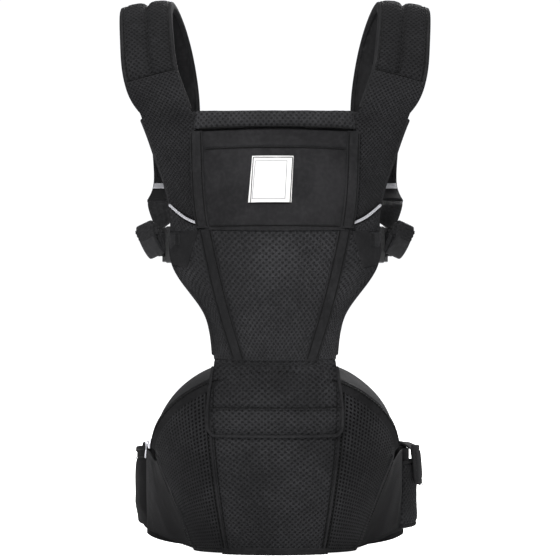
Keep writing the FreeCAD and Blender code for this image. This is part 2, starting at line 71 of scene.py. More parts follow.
# ---- numbers to shapes --------------------------------------------------------------------------
def curve(*knots):
    """A natural cubic spline through (position, value) pairs, held at its ends."""
    x = np.array([k[0] for k in knots], float)
    y = np.array([k[1] for k in knots], float)
    h = np.diff(x)
    n = len(x)
    a = np.eye(n)
    b = np.zeros(n)
    for i in range(1, n - 1):
        a[i, i - 1:i + 2] = h[i - 1], 2 * (h[i - 1] + h[i]), h[i]
        b[i] = 6 * ((y[i + 1] - y[i]) / h[i] - (y[i] - y[i - 1]) / h[i - 1])
    m = np.linalg.solve(a, b)

    def value(t):
        t = np.clip(t, x[0], x[-1])
        i = np.clip(np.searchsorted(x, t) - 1, 0, n - 2)
        p, q = x[i + 1] - t, t - x[i]
        bend = (m[i] * p ** 3 + m[i + 1] * q ** 3) / (6 * h[i])
        return bend + (y[i] / h[i] - m[i] * h[i] / 6) * p \
            + (y[i + 1] / h[i] - m[i + 1] * h[i] / 6) * q

    return value


def vec(x, y, z):
    x, y, z = np.broadcast_arrays(x, y, z)
    return np.stack([x, y, z], -1).astype(float)


def unit(v):
    return v / np.maximum(np.linalg.norm(v, axis=-1, keepdims=True), 1e-9)


def smooth(t, a=0.0, b=1.0):
    t = np.clip((t - a) / (b - a), 0, 1)
    return t * t * (3 - 2 * t)


def bell(x, width):
    """A smooth bump of height 1 at 0."""
    return np.exp(-(x / width) ** 2)


def noise(x, y, seed):
    """Smooth value noise between -1 and 1, the same on every run."""
    i, j = np.floor(x), np.floor(y)
    fx, fy = smooth(x - i), smooth(y - j)

    def corner(p, q):
        r = np.sin(p * 127.1 + q * 311.7 + seed * 74.7) * 43758.5453
        return 2 * (r - np.floor(r)) - 1

    low = corner(i, j) * (1 - fx) + corner(i + 1, j) * fx
    high = corner(i, j + 1) * (1 - fx) + corner(i + 1, j + 1) * fx
    return low * (1 - fy) + high * fy


def creases(x, y, size, seed):
    """Soft cloth creases: ridged noise in two sizes."""
    big = 1 - 2 * np.abs(noise(x / size, y / size, seed))
    small = 1 - 2 * np.abs(noise(x / size * 2.3 + 9, y / size * 2.3, seed + 1))
    return 0.7 * big + 0.3 * small


def dimples(x, y, pitch_x, pitch_y):
    """1 in the middle of a staggered lattice of dimples, 0 between them."""
    wave = np.cos(2 * math.pi * x / pitch_x) * np.cos(2 * math.pi * y / pitch_y)
    return smooth(wave, 0.0, 0.75)


def spread(count, length, edge):
    """Shares from 0 to 1, crowded at both ends so that an edge of that radius can be rounded."""
    near = edge * (1 - np.cos(np.linspace(0, math.pi / 2, 5)[1:])) / length
    near = near[near < 0.3]
    return np.concatenate([[0], near, np.linspace(near[-1], 1 - near[-1], count)[1:-1],
                           1 - near[::-1], [1]])


def travel(path):
    """Distance from the start of a path to each of its points."""
    return np.concatenate([[0], np.cumsum(np.linalg.norm(np.diff(path, axis=0), axis=-1))])


def lengths(p):
    """Distance travelled along both directions of a grid of points, measured in its middle."""
    return travel(p[:, p.shape[1] // 2]), travel(p[p.shape[0] // 2])


def nearest(points, path):
    """Index of the path's point nearest to each point."""
    return np.argmin(((points[:, None, :] - path[None]) ** 2).sum(-1), axis=1)


def normals(p, towards):
    """Unit normals of a grid of points, all on the side of a direction."""
    n = unit(np.cross(np.gradient(p, axis=0), np.gradient(p, axis=1)))
    side = np.sign((n * np.asarray(towards, float)).sum(-1, keepdims=True))
    return n * np.where(side == 0, 1, side)


def both_ways(p, sign):
    """A grid made for the right side, as it is or mirrored to the left."""
    return p if sign > 0 else (p * [-1, 1, 1])[::-1]


def once(sign, *cad):
    """CAD nodes that hold both sides are replaced by the right piece only."""
    return cad if sign > 0 else ()


# ---- making pieces ------------------------------------------------------------------------------
def piece(name, points, faces, material, body, cad=(), uv=None):
    """One mesh piece from points in millimetres. uv is one pair per point, in millimetres."""
    mesh = bpy.data.meshes.new(name)
    mesh.from_pydata((np.asarray(points).reshape(-1, 3) * MM).tolist(), [], faces)
    mesh.validate()
    if uv is not None:
        put_uv(mesh, uv)
    mesh.polygons.foreach_set("use_smooth", [True] * len(mesh.polygons))
    mesh.materials.append(material)
    obj = bpy.data.objects.new(name, mesh)
    bpy.context.scene.collection.objects.link(obj)
    if cad:
        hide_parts(*cad)
    if body:
        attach(obj, body)
    return obj


def put_uv(mesh, uv):
    """Cloth coordinates in millimetres, stored a hundred to the unit."""
    layer = mesh.uv_layers.get("cloth") or mesh.uv_layers.new(name="cloth")
    index = np.zeros(len(mesh.loops), int)
    mesh.loops.foreach_get("vertex_index", index)
    layer.data.foreach_set("uv", (np.asarray(uv, float)[index] * UV_PER_MM).ravel())


def quads(rows, cols, closed=False):
    """Faces of a grid of points; a closed grid joins its last column to its first."""
    faces = []
    for i in range(rows - 1):
        for j in range(cols if closed else cols - 1):
            near, far, after = i * cols, (i + 1) * cols, (j + 1) % cols
            faces.append((near + j, far + j, far + after, near + after))
    return faces


def slab(p, out, thick, edge=1.2, lift=None, back_lift=None):
    """A sheet of cloth with rounded edges: points, faces and uv. p is its inner face."""
    n, m = p.shape[:2]
    s, t = lengths(p)
    ds = np.minimum(s, s[-1] - s)[:, None]
    dt = np.minimum(t, t[-1] - t)[None, :]
    d = np.clip(np.minimum(ds, dt) / edge, 0, 1)
    e = np.sqrt(np.clip(1 - (1 - d) ** 2, 0, 1))
    half = np.asarray(thick) / 2 * e
    top = half + (0 if lift is None else lift * smooth(d))
    low = -half + (0 if back_lift is None else back_lift * smooth(d))
    middle = p + out * (np.asarray(thick) / 2)[..., None]
    upper = middle + out * top[..., None]
    lower = middle + out * low[..., None]
    faces = quads(n, m)
    inner = np.arange(n * m).reshape(n, m)
    ring = np.ones((n, m), bool)
    ring[1:-1, 1:-1] = False
    below = np.where(ring, inner, 0)
    below[1:-1, 1:-1] = n * m + np.arange((n - 2) * (m - 2)).reshape(n - 2, m - 2)
    back = [tuple(int(below.ravel()[k]) for k in reversed(f)) for f in faces]
    points = np.concatenate([upper.reshape(-1, 3), lower[1:-1, 1:-1].reshape(-1, 3)])
    uv = np.stack(np.broadcast_arrays(s[:, None], t[None, :]), -1)
    uv = np.concatenate([uv.reshape(-1, 2), uv[1:-1, 1:-1].reshape(-1, 2)])
    if np.dot(np.cross(p[1, 0] - p[0, 0], p[0, 1] - p[0, 0]), out[0, 0]) < 0:
        faces = [tuple(reversed(f)) for f in faces]
        back = [tuple(reversed(f)) for f in back]
    return points, faces + back, uv


def cloth(name, p, towards, thick, material, body, cad=(), edge=1.2, lift=None, inner=0.0,
          back_lift=None):
    """A sheet piece on a grid of surface points, starting a distance inner above the surface."""
    out = normals(p, towards)
    points, faces, uv = slab(p + out * inner, out, np.broadcast_to(thick, p.shape[:2]), edge, lift,
                             back_lift)
    return piece(name, points, faces, material, body, cad, uv)


def loft(rings):
    """Closed rings (n, k, 3) joined into one surface. Flat caps close the ends."""
    n, k = rings.shape[:2]
    faces = quads(n, k, closed=True)
    points = np.concatenate([rings.reshape(-1, 3), [rings[0].mean(0)], [rings[-1].mean(0)]])
    a, b = n * k, n * k + 1
    faces += [(a, j, (j + 1) % k) for j in range(k)]
    faces += [(b, (n - 1) * k + (j + 1) % k, (n - 1) * k + j) for j in range(k)]
    return points, faces


def squared(angles, wide_power, thick_power):
    """Both coordinates of a rounded rectangle with corners set by the two powers."""
    c, s = np.cos(angles), np.sin(angles)
    return np.sign(c) * np.abs(c) ** wide_power, np.sign(s) * np.abs(s) ** thick_power


def path_frames(path, hint):
    """Tangent, side and up at each point of a path. up stays close to the hint."""
    tangent = unit(np.gradient(path, axis=0))
    hint = np.broadcast_to(np.asarray(hint, float), path.shape)
    up = unit(hint - tangent * (hint * tangent).sum(-1, keepdims=True))
    return tangent, np.cross(tangent, up), up


def tube(path, hint, half_wide, half_thick, power=2.0, sides=12, round_ends=True):
    """A rounded bar along a path, flat or round by its cross-section's power."""
    n = len(path)
    tangent, side, up = path_frames(path, hint)
    a = np.linspace(0, 2 * math.pi, sides, endpoint=False)
    ca, sa = squared(a, 2 / power, 2 / power)
    w = np.broadcast_to(half_wide, n)
    t = np.broadcast_to(half_thick, n)
    rings = path[:, None] + side[:, None] * (w[:, None] * ca)[..., None] \
        + up[:, None] * (t[:, None] * sa)[..., None]
    if round_ends:
        r = float(min(t[0], w[0]))
        first = [(rings[0] - path[0]) * k + path[0] - tangent[0] * r * d
                 for k, d in ((0.3, 0.95), (0.75, 0.65), (0.95, 0.3))]
        last = [(rings[-1] - path[-1]) * k + path[-1] + tangent[-1] * r * d
                for k, d in ((0.95, 0.3), (0.75, 0.65), (0.3, 0.95))]
        rings = np.concatenate([first, rings, last])
    return loft(rings)


def merge(parts):
    """Several (points, faces) as one."""
    points = []
    faces = []
    start = 0
    for p, f in parts:
        points.append(np.asarray(p).reshape(-1, 3))
        faces += [tuple(i + start for i in face) for face in f]
        start += len(points[-1])
    return np.concatenate(points), faces


def resample(path, count):
    d = travel(path)
    t = np.linspace(0, d[-1], count)
    return np.stack([np.interp(t, d, path[:, k]) for k in range(3)], -1)


def spline(points, count):
    """A smooth path through points, evenly spaced."""
    points = np.asarray(points, float)
    d = travel(points)
    fine = np.linspace(0, d[-1], 400)
    path = np.stack([curve(*zip(d, points[:, k]))(fine) for k in range(3)], -1)
    return resample(path, count)


# ---- stitching ----------------------------------------------------------------------------------
threads = {}
# seams collects the seam lines: dark tubes sunk along each seam, painted shadow for the shade in
# its groove
seams = {}
SHADOW_LINE_WIDE, SHADOW_LINE_THICK, SHADOW_LINE_SUNK = 0.58, 0.5, 0.1
PITCH, BAR_SHARE, BAR_HALF, BAR_LIFT = 3.4, 0.68, 0.3, 0.1
REACH, PER_METRE = 14.0, 1000.0


def settle(obj, path, out):
    """Moves the points of a path onto the outer surface of a piece, along their directions."""
    mesh = obj.data
    tree = BVHTree.FromPolygons([vertex.co for vertex in mesh.vertices],
                                [tuple(face.vertices) for face in mesh.polygons])
    moved = np.array(path, float)
    for k, (point, up) in enumerate(zip(path, out)):
        start = Vector(((point + up * REACH) / PER_METRE).tolist())
        hit = tree.ray_cast(start, Vector((-up).tolist()), 2.0 * REACH / PER_METRE)[0]
        if hit is not None:
            moved[k] = np.array(hit) * PER_METRE
    return moved


def stitch(body, path, out, pitch=PITCH, size=BAR_HALF, lift=BAR_LIFT):
    """A dark sunk line along a path on a surface, a painted shadow for the shade in the seam's
    groove, with a short rounded bar for each stitch.
    """
    path = np.asarray(path, float)
    out = np.broadcast_to(np.asarray(out, float), path.shape)
    d = travel(path)
    if d[-1] < pitch:
        return
    # painted shadow: a near-black tube sunk into the surface stands for the shade in the seam's
    # groove
    cord = tube(path - unit(out) * SHADOW_LINE_SUNK, out, SHADOW_LINE_WIDE, SHADOW_LINE_THICK, sides=6,
                round_ends=False)
    seams.setdefault(body, []).append(cord)
    slim = [size * 0.7, size, size * 0.7]
    for s in np.arange(0.3 * pitch, d[-1] - 0.7 * pitch, pitch):
        t = np.linspace(s, s + pitch * BAR_SHARE, 3)
        centre = np.stack([np.interp(t, d, path[:, k]) for k in range(3)], -1)
        up = np.stack([np.interp(t, d, out[:, k]) for k in range(3)], -1)
        centre = centre + unit(up) * np.array([-0.1, lift, -0.1])[:, None]
        part = tube(centre, up[1], slim, slim, sides=6, round_ends=False)
        threads.setdefault(body, []).append(part)


# ---- materials ----------------------------------------------------------------------------------
SHEEN, CLOTH_IOR, HARD_IOR = 0.02, 1.22, 1.45


class Nodes:
    """Builds a node tree. A socket given as an input is linked, anything else is its value."""

    def __init__(self, name):
        self.material = bpy.data.materials.new(name)
        self.material.use_nodes = True
        self.tree = self.material.node_tree
        self.tree.nodes.clear()

    def add(self, kind, inputs=None, **options):
        node = self.tree.nodes.new("ShaderNode" + kind)
        for key, value in options.items():
            setattr(node, key, value)
        for key, value in (inputs or {}).items():
            self.put(node.inputs[key], value)
        return node

    def put(self, socket, value):
        if isinstance(value, bpy.types.NodeSocket):
            self.tree.links.new(value, socket)
        else:
            socket.default_value = value

    def math(self, operation, a, b=0.0, c=None):
        inputs = {0: a, 1: b}
        if c is not None:
            inputs[2] = c
        return self.add("Math", inputs, operation=operation).outputs[0]

    def times(self, a, b):
        return self.math("MULTIPLY", a, b)

    def plus(self, a, b):
        return self.math("ADD", a, b)

    def minus(self, a, b):
        return self.math("SUBTRACT", a, b)

    def size(self, a):
        return self.math("ABSOLUTE", a)

    def ramp(self, value, low, high, to_low=0.0, to_high=1.0):
        node = self.add("MapRange", {"Value": value, "From Min": low, "From Max": high,
                                     "To Min": to_low, "To Max": to_high},
                        interpolation_type="SMOOTHSTEP")
        return node.outputs[0]

    def mix(self, share, a, b):
        node = self.add("Mix", data_type="RGBA")
        for index, value in ((0, share), (6, a), (7, b)):
            self.put(node.inputs[index], value)
        return node.outputs[2]

    def noise(self, where, scale, detail=3.0, rough=0.55):
        return self.add("TexNoise", {"Vector": where, "Scale": scale, "Detail": detail,
                                     "Roughness": rough}).outputs["Fac"]

    def place(self):
        return self.add("TexCoord").outputs["Object"]

    def uv(self):
        """The cloth's own coordinates, in millimetres, as two separate values."""
        split = self.add("SeparateXYZ", {0: self.add("UVMap", uv_map="cloth").outputs[0]})
        return self.times(split.outputs[0], MM_PER_UV), self.times(split.outputs[1], MM_PER_UV)

    def wave(self, value, pitch):
        return self.math("COSINE", self.times(value, 2 * math.pi / pitch))

    def bump(self, height, strength, distance, normal=None):
        inputs = {"Height": height, "Strength": strength, "Distance": distance * MM}
        if normal is not None:
            inputs["Normal"] = normal
        return self.add("Bump", inputs).outputs[0]

    def finish(self, base, rough, normal, **more):
        inputs = {"Base Color": base, "Roughness": rough, "Normal": normal, "IOR": CLOTH_IOR}
        for key, value in more.items():
            inputs[key.replace("_", " ")] = value
        shader = self.add("BsdfPrincipled", inputs)
        out = self.add("OutputMaterial", {"Surface": shader.outputs[0]})
        out.is_active_output = True
        return self.material


def grey(level, warm=0.0):
    return (level * (1 + warm), level, level * (1 - warm) + 0.06 * level, 1.0)


def weave_height(n, u, v, thread):
    """Plain weave: threads over and under in both directions."""
    a, b = n.wave(u, thread * 2), n.wave(v, thread * 2)
    product = n.times(a, b)
    ridges = n.math("MAXIMUM", n.size(n.wave(u, thread * 4)),
                    n.size(n.wave(v, thread * 4)))
    return n.plus(n.times(product, 0.5), n.times(ridges, 0.5))


def surface_variation(n, where):
    """Slow drift, dust and rubbed fibres, between 0 and 1."""
    slow = n.ramp(n.noise(where, 14.0, 3.0), 0.3, 0.7)
    fine = n.ramp(n.noise(where, 260.0, 2.0), 0.35, 0.75)
    return n.plus(n.times(slow, 0.6), n.times(fine, 0.4))


def woven(name, level, thread, rough=0.82):
    """Plain woven cloth with a fine thread."""
    n = Nodes(name)
    u, v = n.uv()
    where = n.place()
    height = weave_height(n, u, v, thread)
    vary = surface_variation(n, where)
    shade = n.math("MULTIPLY_ADD", height, 0.22, vary)
    colour = n.mix(n.ramp(shade, 0.1, 1.1), grey(level * 0.68), grey(level * 1.4, 0.01))
    normal = n.bump(height, 0.45, 0.12)
    normal = n.bump(n.noise(where, 900.0, 2.0), 0.12, 0.1, normal)
    roughness = n.ramp(vary, 0.0, 1.0, rough - 0.06, rough + 0.08)
    return n.finish(colour, roughness, normal, Sheen_Weight=SHEEN, Sheen_Roughness=0.45,
                    Sheen_Tint=grey(0.5), Specular_IOR_Level=0.16)


def spacer(name, level, pitch_u, pitch_v, depth):
    """Spacer mesh: staggered soft dimples in a knitted face of tiny loops."""
    n = Nodes(name)
    u, v = n.uv()
    where = n.place()
    wobble = n.times(n.minus(n.noise(where, 60.0), 0.5), 1.6)
    u2, v2 = n.plus(u, wobble), n.plus(v, wobble)
    cell = n.times(n.wave(u2, pitch_u), n.wave(v2, pitch_v))
    dimple = n.ramp(cell, -0.05, 0.8)
    loops = n.times(n.wave(u, 1.15), n.wave(v, 0.85))
    vary = surface_variation(n, where)
    shade = n.math("MULTIPLY_ADD", loops, 0.2, vary)
    cloth_tone = n.mix(n.ramp(shade, 0.0, 1.1), grey(level * 0.72), grey(level * 1.45))
    # painted shade: the dimples are darker in colour, for the shade in their hollows
    colour = n.mix(n.times(dimple, 0.75), cloth_tone, grey(level * 0.35))
    height = n.minus(n.times(loops, 0.12), dimple)
    normal = n.bump(height, 0.9, depth)
    normal = n.bump(n.noise(where, 1100.0, 2.0), 0.15, 0.1, normal)
    return n.finish(colour, n.ramp(vary, 0.0, 1.0, 0.78, 0.92), normal, Sheen_Weight=SHEEN,
                    Sheen_Roughness=0.4, Sheen_Tint=grey(0.5), Specular_IOR_Level=0.15)


def open_mesh(name, level, pitch):
    """Open mesh: rows of small square holes, painted dark for the depth behind them: partly the
    dark cloth there, partly painted shade.
    """
    n = Nodes(name)
    u, v = n.uv()
    where = n.place()
    cu = n.size(n.minus(n.math("FRACT", n.math("DIVIDE", u, pitch)), 0.5))
    cv = n.size(n.minus(n.math("FRACT", n.math("DIVIDE", v, pitch)), 0.5))
    far = n.math("MAXIMUM", cu, cv)
    hole = n.ramp(far, 0.2, 0.32, 1.0, 0.0)
    threads_u = n.wave(u, pitch / 5)
    threads_v = n.wave(v, pitch / 5)
    twist = n.times(threads_u, threads_v)
    vary = surface_variation(n, where)
    shade = n.math("MULTIPLY_ADD", twist, 0.18, vary)
    bar = n.mix(n.ramp(shade, 0.0, 1.1), grey(level * 0.7), grey(level * 1.6))
    # the holes are painted near black: partly the dark cloth behind them, partly painted shade
    colour = n.mix(hole, bar, grey(level * 0.12))
    height = n.minus(n.times(twist, 0.12), hole)
    normal = n.bump(height, 0.8, 0.7)
    return n.finish(colour, n.ramp(hole, 0.0, 1.0, 0.75, 0.98), normal, Sheen_Weight=SHEEN,
                    Sheen_Roughness=0.4, Sheen_Tint=grey(0.5), Specular_IOR_Level=0.18)


def webbing_material(name, level):
    """Nylon webbing: a herringbone of slanting cords with a bound edge."""
    n = Nodes(name)
    u, v = n.uv()
    where = n.place()
    zig = n.math("PINGPONG", u, 3.1)
    cords = n.wave(n.plus(v, zig), 1.5)
    across = n.wave(u, 1.55)
    height = n.plus(n.times(cords, 0.6), n.times(across, 0.4))
    vary = surface_variation(n, where)
    shade = n.math("MULTIPLY_ADD", height, 0.3, vary)
    colour = n.mix(n.ramp(shade, -0.1, 1.2), grey(level * 0.5), grey(level * 1.7))
    normal = n.bump(height, 0.6, 0.3)
    return n.finish(colour, n.ramp(height, -1.0, 1.0, 0.62, 0.45), normal, Sheen_Weight=0.04,
                    Sheen_Tint=grey(0.5), Specular_IOR_Level=0.22)


def reflective_material(name):
    """Retro-reflective tape: silver grey with a faint honeycomb press and glass-bead sparkle."""
    n = Nodes(name)
    u, v = n.uv()
    where = n.place()
    cell = n.times(n.wave(u, 1.6), n.wave(v, 1.6))
    beads = n.noise(where, 2600.0, 1.0)
    worn = n.ramp(n.noise(where, 90.0, 4.0), 0.5, 0.75)
    colour = n.mix(n.ramp(n.math("MULTIPLY_ADD", cell, 0.15, beads), 0.2, 0.9), grey(0.23),
                   grey(0.5))
    colour = n.mix(n.times(worn, 0.5), colour, grey(0.16))
    normal = n.bump(n.plus(beads, n.times(cell, 0.4)), 0.25, 0.15)
    return n.finish(colour, n.ramp(worn, 0.0, 1.0, 0.38, 0.6), normal, Metallic=0.45,
                    Specular_IOR_Level=0.6)


def plastic(name, level):
    """Moulded plastic: spark-eroded grain, faint flow marks and shinier edges, lighter in colour as
    a painted sheen.
    """
    n = Nodes(name)
    where = n.place()
    grain = n.noise(where, 1800.0, 3.0)
    flow = n.noise(where, 40.0, 2.0)
    edge = n.ramp(n.add("NewGeometry").outputs["Pointiness"], 0.52, 0.62)
    edge_sheen = n.times(edge, n.ramp(n.noise(where, 300.0), 0.35, 0.65))
    colour = n.mix(n.ramp(flow, 0.3, 0.7), grey(level * 0.85), grey(level * 1.15))
    # painted sheen: the edges are lighter in colour, as a painted highlight
    colour = n.mix(n.times(edge_sheen, 0.7), colour, grey(level * 2.6))
    rough = n.minus(n.ramp(grain, 0.3, 0.7, 0.42, 0.55), n.times(edge_sheen, 0.15))
    normal = n.bump(grain, 0.12, 0.12)
    return n.finish(colour, rough, normal, Specular_IOR_Level=0.5, IOR=HARD_IOR)


def metal(name):
    """Plated zip metal with fine brushing, hollows darker as painted shade and edges lighter as a
    painted highlight.
    """
    n = Nodes(name)
    where = n.place()
    stretched = n.add("Mapping", {"Vector": where, "Scale": (400.0, 400.0, 4000.0)}).outputs[0]
    brush = n.add("TexNoise", {"Vector": stretched, "Scale": 1.0, "Detail": 2.0}).outputs["Fac"]
    edge = n.ramp(n.add("NewGeometry").outputs["Pointiness"], 0.45, 0.55)
    # painted shade and highlight: hollows darker and convex edges lighter, by pointiness
    colour = n.mix(edge, grey(0.3), grey(0.72))
    return n.finish(colour, n.ramp(brush, 0.2, 0.8, 0.22, 0.38), n.bump(brush, 0.08, 0.05),
                    Metallic=1.0, IOR=HARD_IOR)


def thread_material(name, level):
    """Twisted sewing thread."""
    n = Nodes(name)
    where = n.place()
    twist = n.add("TexWave", {"Vector": where, "Scale": 900.0, "Distortion": 2.0}).outputs["Fac"]
    vary = n.noise(where, 120.0)
    colour = n.mix(n.math("MULTIPLY_ADD", twist, 0.4, n.times(vary, 0.6)),
                   grey(level * 0.6), grey(level * 1.5))
    return n.finish(colour, n.ramp(twist, 0.0, 1.0, 0.5, 0.7), n.bump(twist, 0.4, 0.1),
                    Sheen_Weight=SHEEN, Specular_IOR_Level=0.2)


def label_material(name):
    """Blank woven label: satin ground with a thin grey frame woven near its edge."""
    n = Nodes(name)
    u, v = n.uv()
    where = n.place()
    satin = n.times(n.wave(u, 0.5), n.wave(v, 0.9))
    from_u = n.size(n.minus(u, 20.5))
    from_v = n.size(n.minus(v, 24.0))
    rim_u = n.size(n.minus(from_u, 16.6))
    rim_v = n.size(n.minus(from_v, 20.1))
    on_u = n.times(n.ramp(rim_u, 0.25, 0.5, 1.0, 0.0), n.math("LESS_THAN", from_v, 20.5))
    on_v = n.times(n.ramp(rim_v, 0.25, 0.5, 1.0, 0.0), n.math("LESS_THAN", from_u, 17.0))
    line = n.math("MAXIMUM", on_u, on_v)
    vary = n.noise(where, 220.0)
    ground = n.mix(n.ramp(n.math("MULTIPLY_ADD", satin, 0.2, vary), 0.1, 0.9),
                   (0.34, 0.337, 0.332, 1), (0.42, 0.417, 0.412, 1))
    colour = n.mix(n.times(line, 0.9), ground, (0.1, 0.105, 0.115, 1))
    return n.finish(colour, n.ramp(satin, -1.0, 1.0, 0.55, 0.42), n.bump(satin, 0.4, 0.12),
                    Sheen_Weight=0.2, Specular_IOR_Level=0.45)


def floor_material(name):
    """Pale paper that looks evenly lit to the camera."""
    n = Nodes(name)
    glow = n.ramp(n.add("LightPath").outputs["Is Camera Ray"], 0.0, 1.0, 0.05, 1.1)
    where = n.place()
    speck = n.noise(where, 30.0, 4.0)
    colour = n.mix(speck, (0.93, 0.93, 0.935, 1), (0.96, 0.96, 0.96, 1))
    return n.finish(colour, n.ramp(speck, 0.3, 0.7, 0.6, 0.75), n.bump(speck, 0.02, 0.2),
                    Emission_Color=(1, 1, 1, 1), Emission_Strength=glow)


SHELL = woven("shell_cloth", 0.0088, 0.5)
BAND = woven("band_cloth", 0.0088, 0.45)
# painted shade: a darker copy of the shell cloth for the hip pieces that face sideways, standing
# for the shade on the sides
SHADED_SIDE_CLOTH = woven("shaded_side_cloth", 0.0055, 0.5)
LINING = woven("lining_cloth", 0.0092, 0.7, rough=0.88)
MESH = spacer("spacer_mesh", 0.0125, 6.6, 6.0, 1.1)
PAD_MESH = spacer("pad_mesh", 0.0082, 5.2, 5.6, 0.9)
WIDE_MESH = spacer("panel_mesh", 0.014, 5.6, 6.2, 0.8)
KNIT = spacer("fine_mesh", 0.0092, 4.6, 4.6, 0.9)
HOLES = open_mesh("open_mesh", 0.009, 3.7)
WEBBING = webbing_material("webbing", 0.009)
SILVER = reflective_material("reflective_tape")
PLASTIC = plastic("moulded_plastic", 0.006)
METAL = metal("plated_metal")
# the zip coil is near black: partly its own colour, partly painted shade in the gap under the top
# cover's edge
COIL = thread_material("zip_coil", 0.0008)
THREAD = thread_material("thread", 0.004)
# painted shade: near-black material for the seam lines, standing for the shadow in seam grooves
SEAM_SHADOW = thread_material("seam_shadow_line", 0.0012)
# the zip tape is darker than the shell cloth, partly as painted shade in the gap under the top
# cover's edge
TAPE = woven("zip_tape_cloth", 0.006, 0.4)
HOOK = spacer("hook_tape", 0.006, 1.4, 1.4, 0.3)
LABEL = label_material("label")
SLOTS = {item["node"]: item["material_slot"] for item in frame["record"]["subparts"]}


# ---- padded pieces ------------------------------------------------------------------------------
def bake(obj):
    """The mesh with its modifiers applied."""
    graph = bpy.context.evaluated_depsgraph_get()
    graph.update()
    mesh = bpy.data.meshes.new_from_object(obj.evaluated_get(graph))
    obj.modifiers.clear()
    old = obj.data
    obj.data = mesh
    mesh.name = old.name + "_mesh"
    bpy.data.meshes.remove(old)


def coords(mesh):
    co = np.zeros(len(mesh.vertices) * 3)
    mesh.vertices.foreach_get("co", co)
    return co.reshape(-1, 3) / MM


def set_coords(mesh, co):
    mesh.vertices.foreach_set("co", (co * MM).ravel())
    mesh.update()


CLOTH = {"quality": 5, "mass": 0.12, "tension_stiffness": 12.0, "compression_stiffness": 12.0,
         "bending_stiffness": 0.4, "use_pressure": True}
LAST_STEP = 20


def inflate(obj, pressure, cap):
    """Cloth simulation under inner pressure. No point moves further than cap."""
    rest = coords(obj.data)
    settings = obj.modifiers.new("Cloth", "CLOTH").settings
    for key, value in CLOTH.items():
        setattr(settings, key, value)
    settings.uniform_pressure_force = pressure
    settings.effector_weights.gravity = 0
    for step in range(1, LAST_STEP + 1):
        bpy.context.scene.frame_set(step)
    graph = bpy.context.evaluated_depsgraph_get()
    moved = coords(obj.evaluated_get(graph).data)
    obj.modifiers.clear()
    bpy.context.scene.frame_set(1)
    move = moved - rest
    length = np.linalg.norm(move, axis=1, keepdims=True)
    set_coords(obj.data, rest + move * np.minimum(1, cap / np.maximum(length, 1e-6)))


def on_grid(p, out):
    """Finds where a point lies on a grid: distances along both directions, height above it."""
    n, m = p.shape[:2]
    tree = KDTree(n * m)
    for i, co in enumerate(p.reshape(-1, 3)):
        tree.insert(co, i)
    tree.balance()
    s, t = lengths(p)
    along = unit(np.gradient(p, axis=0)).reshape(-1, 3)
    across = unit(np.gradient(p, axis=1)).reshape(-1, 3)
    flat_out = out.reshape(-1, 3)

    def locate(co):
        index = np.array([tree.find(c)[1] for c in co])
        delta = co - p.reshape(-1, 3)[index]
        u = s[index // m] + (delta * along[index]).sum(1)
        v = t[index % m] + (delta * across[index]).sum(1)
        height = (delta * flat_out[index]).sum(1)
        return u, v, height, flat_out[index]

    return locate


def soften(obj, locate, shape=None, voxel=4.5, pressure=4.0, cap=4.0, back=None):
    """Remesh, inflate, subdivide, then press the seams in and lay the cloth coordinates on.

    back is the material of the side that faces the wearer, if it differs.
    """
    material = obj.data.materials[0]
    remesh = obj.modifiers.new("Remesh", "REMESH")
    remesh.mode = "VOXEL"
    remesh.voxel_size = voxel * MM
    bake(obj)
    inflate(obj, pressure, cap)
    ease = obj.modifiers.new("Smooth", "SMOOTH")
    ease.factor = 0.5
    ease.iterations = 2
    finer = obj.modifiers.new("Subdivision", "SUBSURF")
    finer.levels = finer.render_levels = 1
    bake(obj)
    co = coords(obj.data)
    u, v, height, out = locate(co)
    if shape is not None:
        side = np.where(height > 0, 1.0, -1.0)
        co = co + out * (shape(u, v, side) * side)[:, None]
        set_coords(obj.data, co)
    put_uv(obj.data, np.stack([u, v], -1))
    obj.data.materials.clear()
    obj.data.materials.append(material)
    obj.data.polygons.foreach_set("use_smooth", [True] * len(obj.data.polygons))
    if back is not None:
        obj.data.materials.append(back)
        behind = [int(height[list(f.vertices)].mean() < 0) for f in obj.data.polygons]
        obj.data.polygons.foreach_set("material_index", behind)


def padded(name, p, towards, thick, material, body, cad=(), inner=0.0, shape=None, voxel=4.5,
           pressure=4.0, cap=4.0, edge=None, back=None):
    """A stuffed sheet: starts a little thin, is inflated, and then rides on its body."""
    out = normals(p, towards)
    start = np.broadcast_to(np.asarray(thick, float), p.shape[:2])
    points, faces, _ = slab(p + out * inner, out, start, edge or float(start.max()) / 2)
    obj = piece(name, points, faces, material, None, cad)
    middle = p + out * (inner + start / 2)[..., None]
    soften(obj, on_grid(middle, out), shape, voxel, pressure, cap, back)
    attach(obj, body)
    return obj


# ---- seat surfaces ------------------------------------------------------------------------------
def zip_arc(u, radius=ZIP_RADIUS):
    a = np.radians(ZIP_SWEEP * np.asarray(u, float))
    reach = radius * np.cos(a)
    return ZIP_CENTRE + vec(radius * np.sin(a), -reach * math.cos(ZIP_TILT),
                            reach * math.sin(ZIP_TILT))


SEAT_POWER, SEAT_ROUNDS, LOW, HIGH = 0.9, 15, 0.012, 0.985


def seat_front(u, v):
    u, v = np.broadcast_arrays(np.asarray(u, float), np.asarray(v, float))
    a = np.radians(ZIP_SWEEP * u)
    arc = zip_arc(u)
    share = np.maximum(v, 0) ** SEAT_POWER
    swell = 7.0 * np.sin(math.pi * np.clip(v, 0, 1)) * np.cos(a)
    x = FOOT_X * np.sin(a) * (1 - share) + arc[..., 0] * share
    y = (FOOT_SIDE_Y - (FOOT_SIDE_Y - FOOT_FRONT_Y) * np.cos(a)) * (1 - share) \
        + arc[..., 1] * share - swell
    return vec(x, y, arc[..., 2] * v)


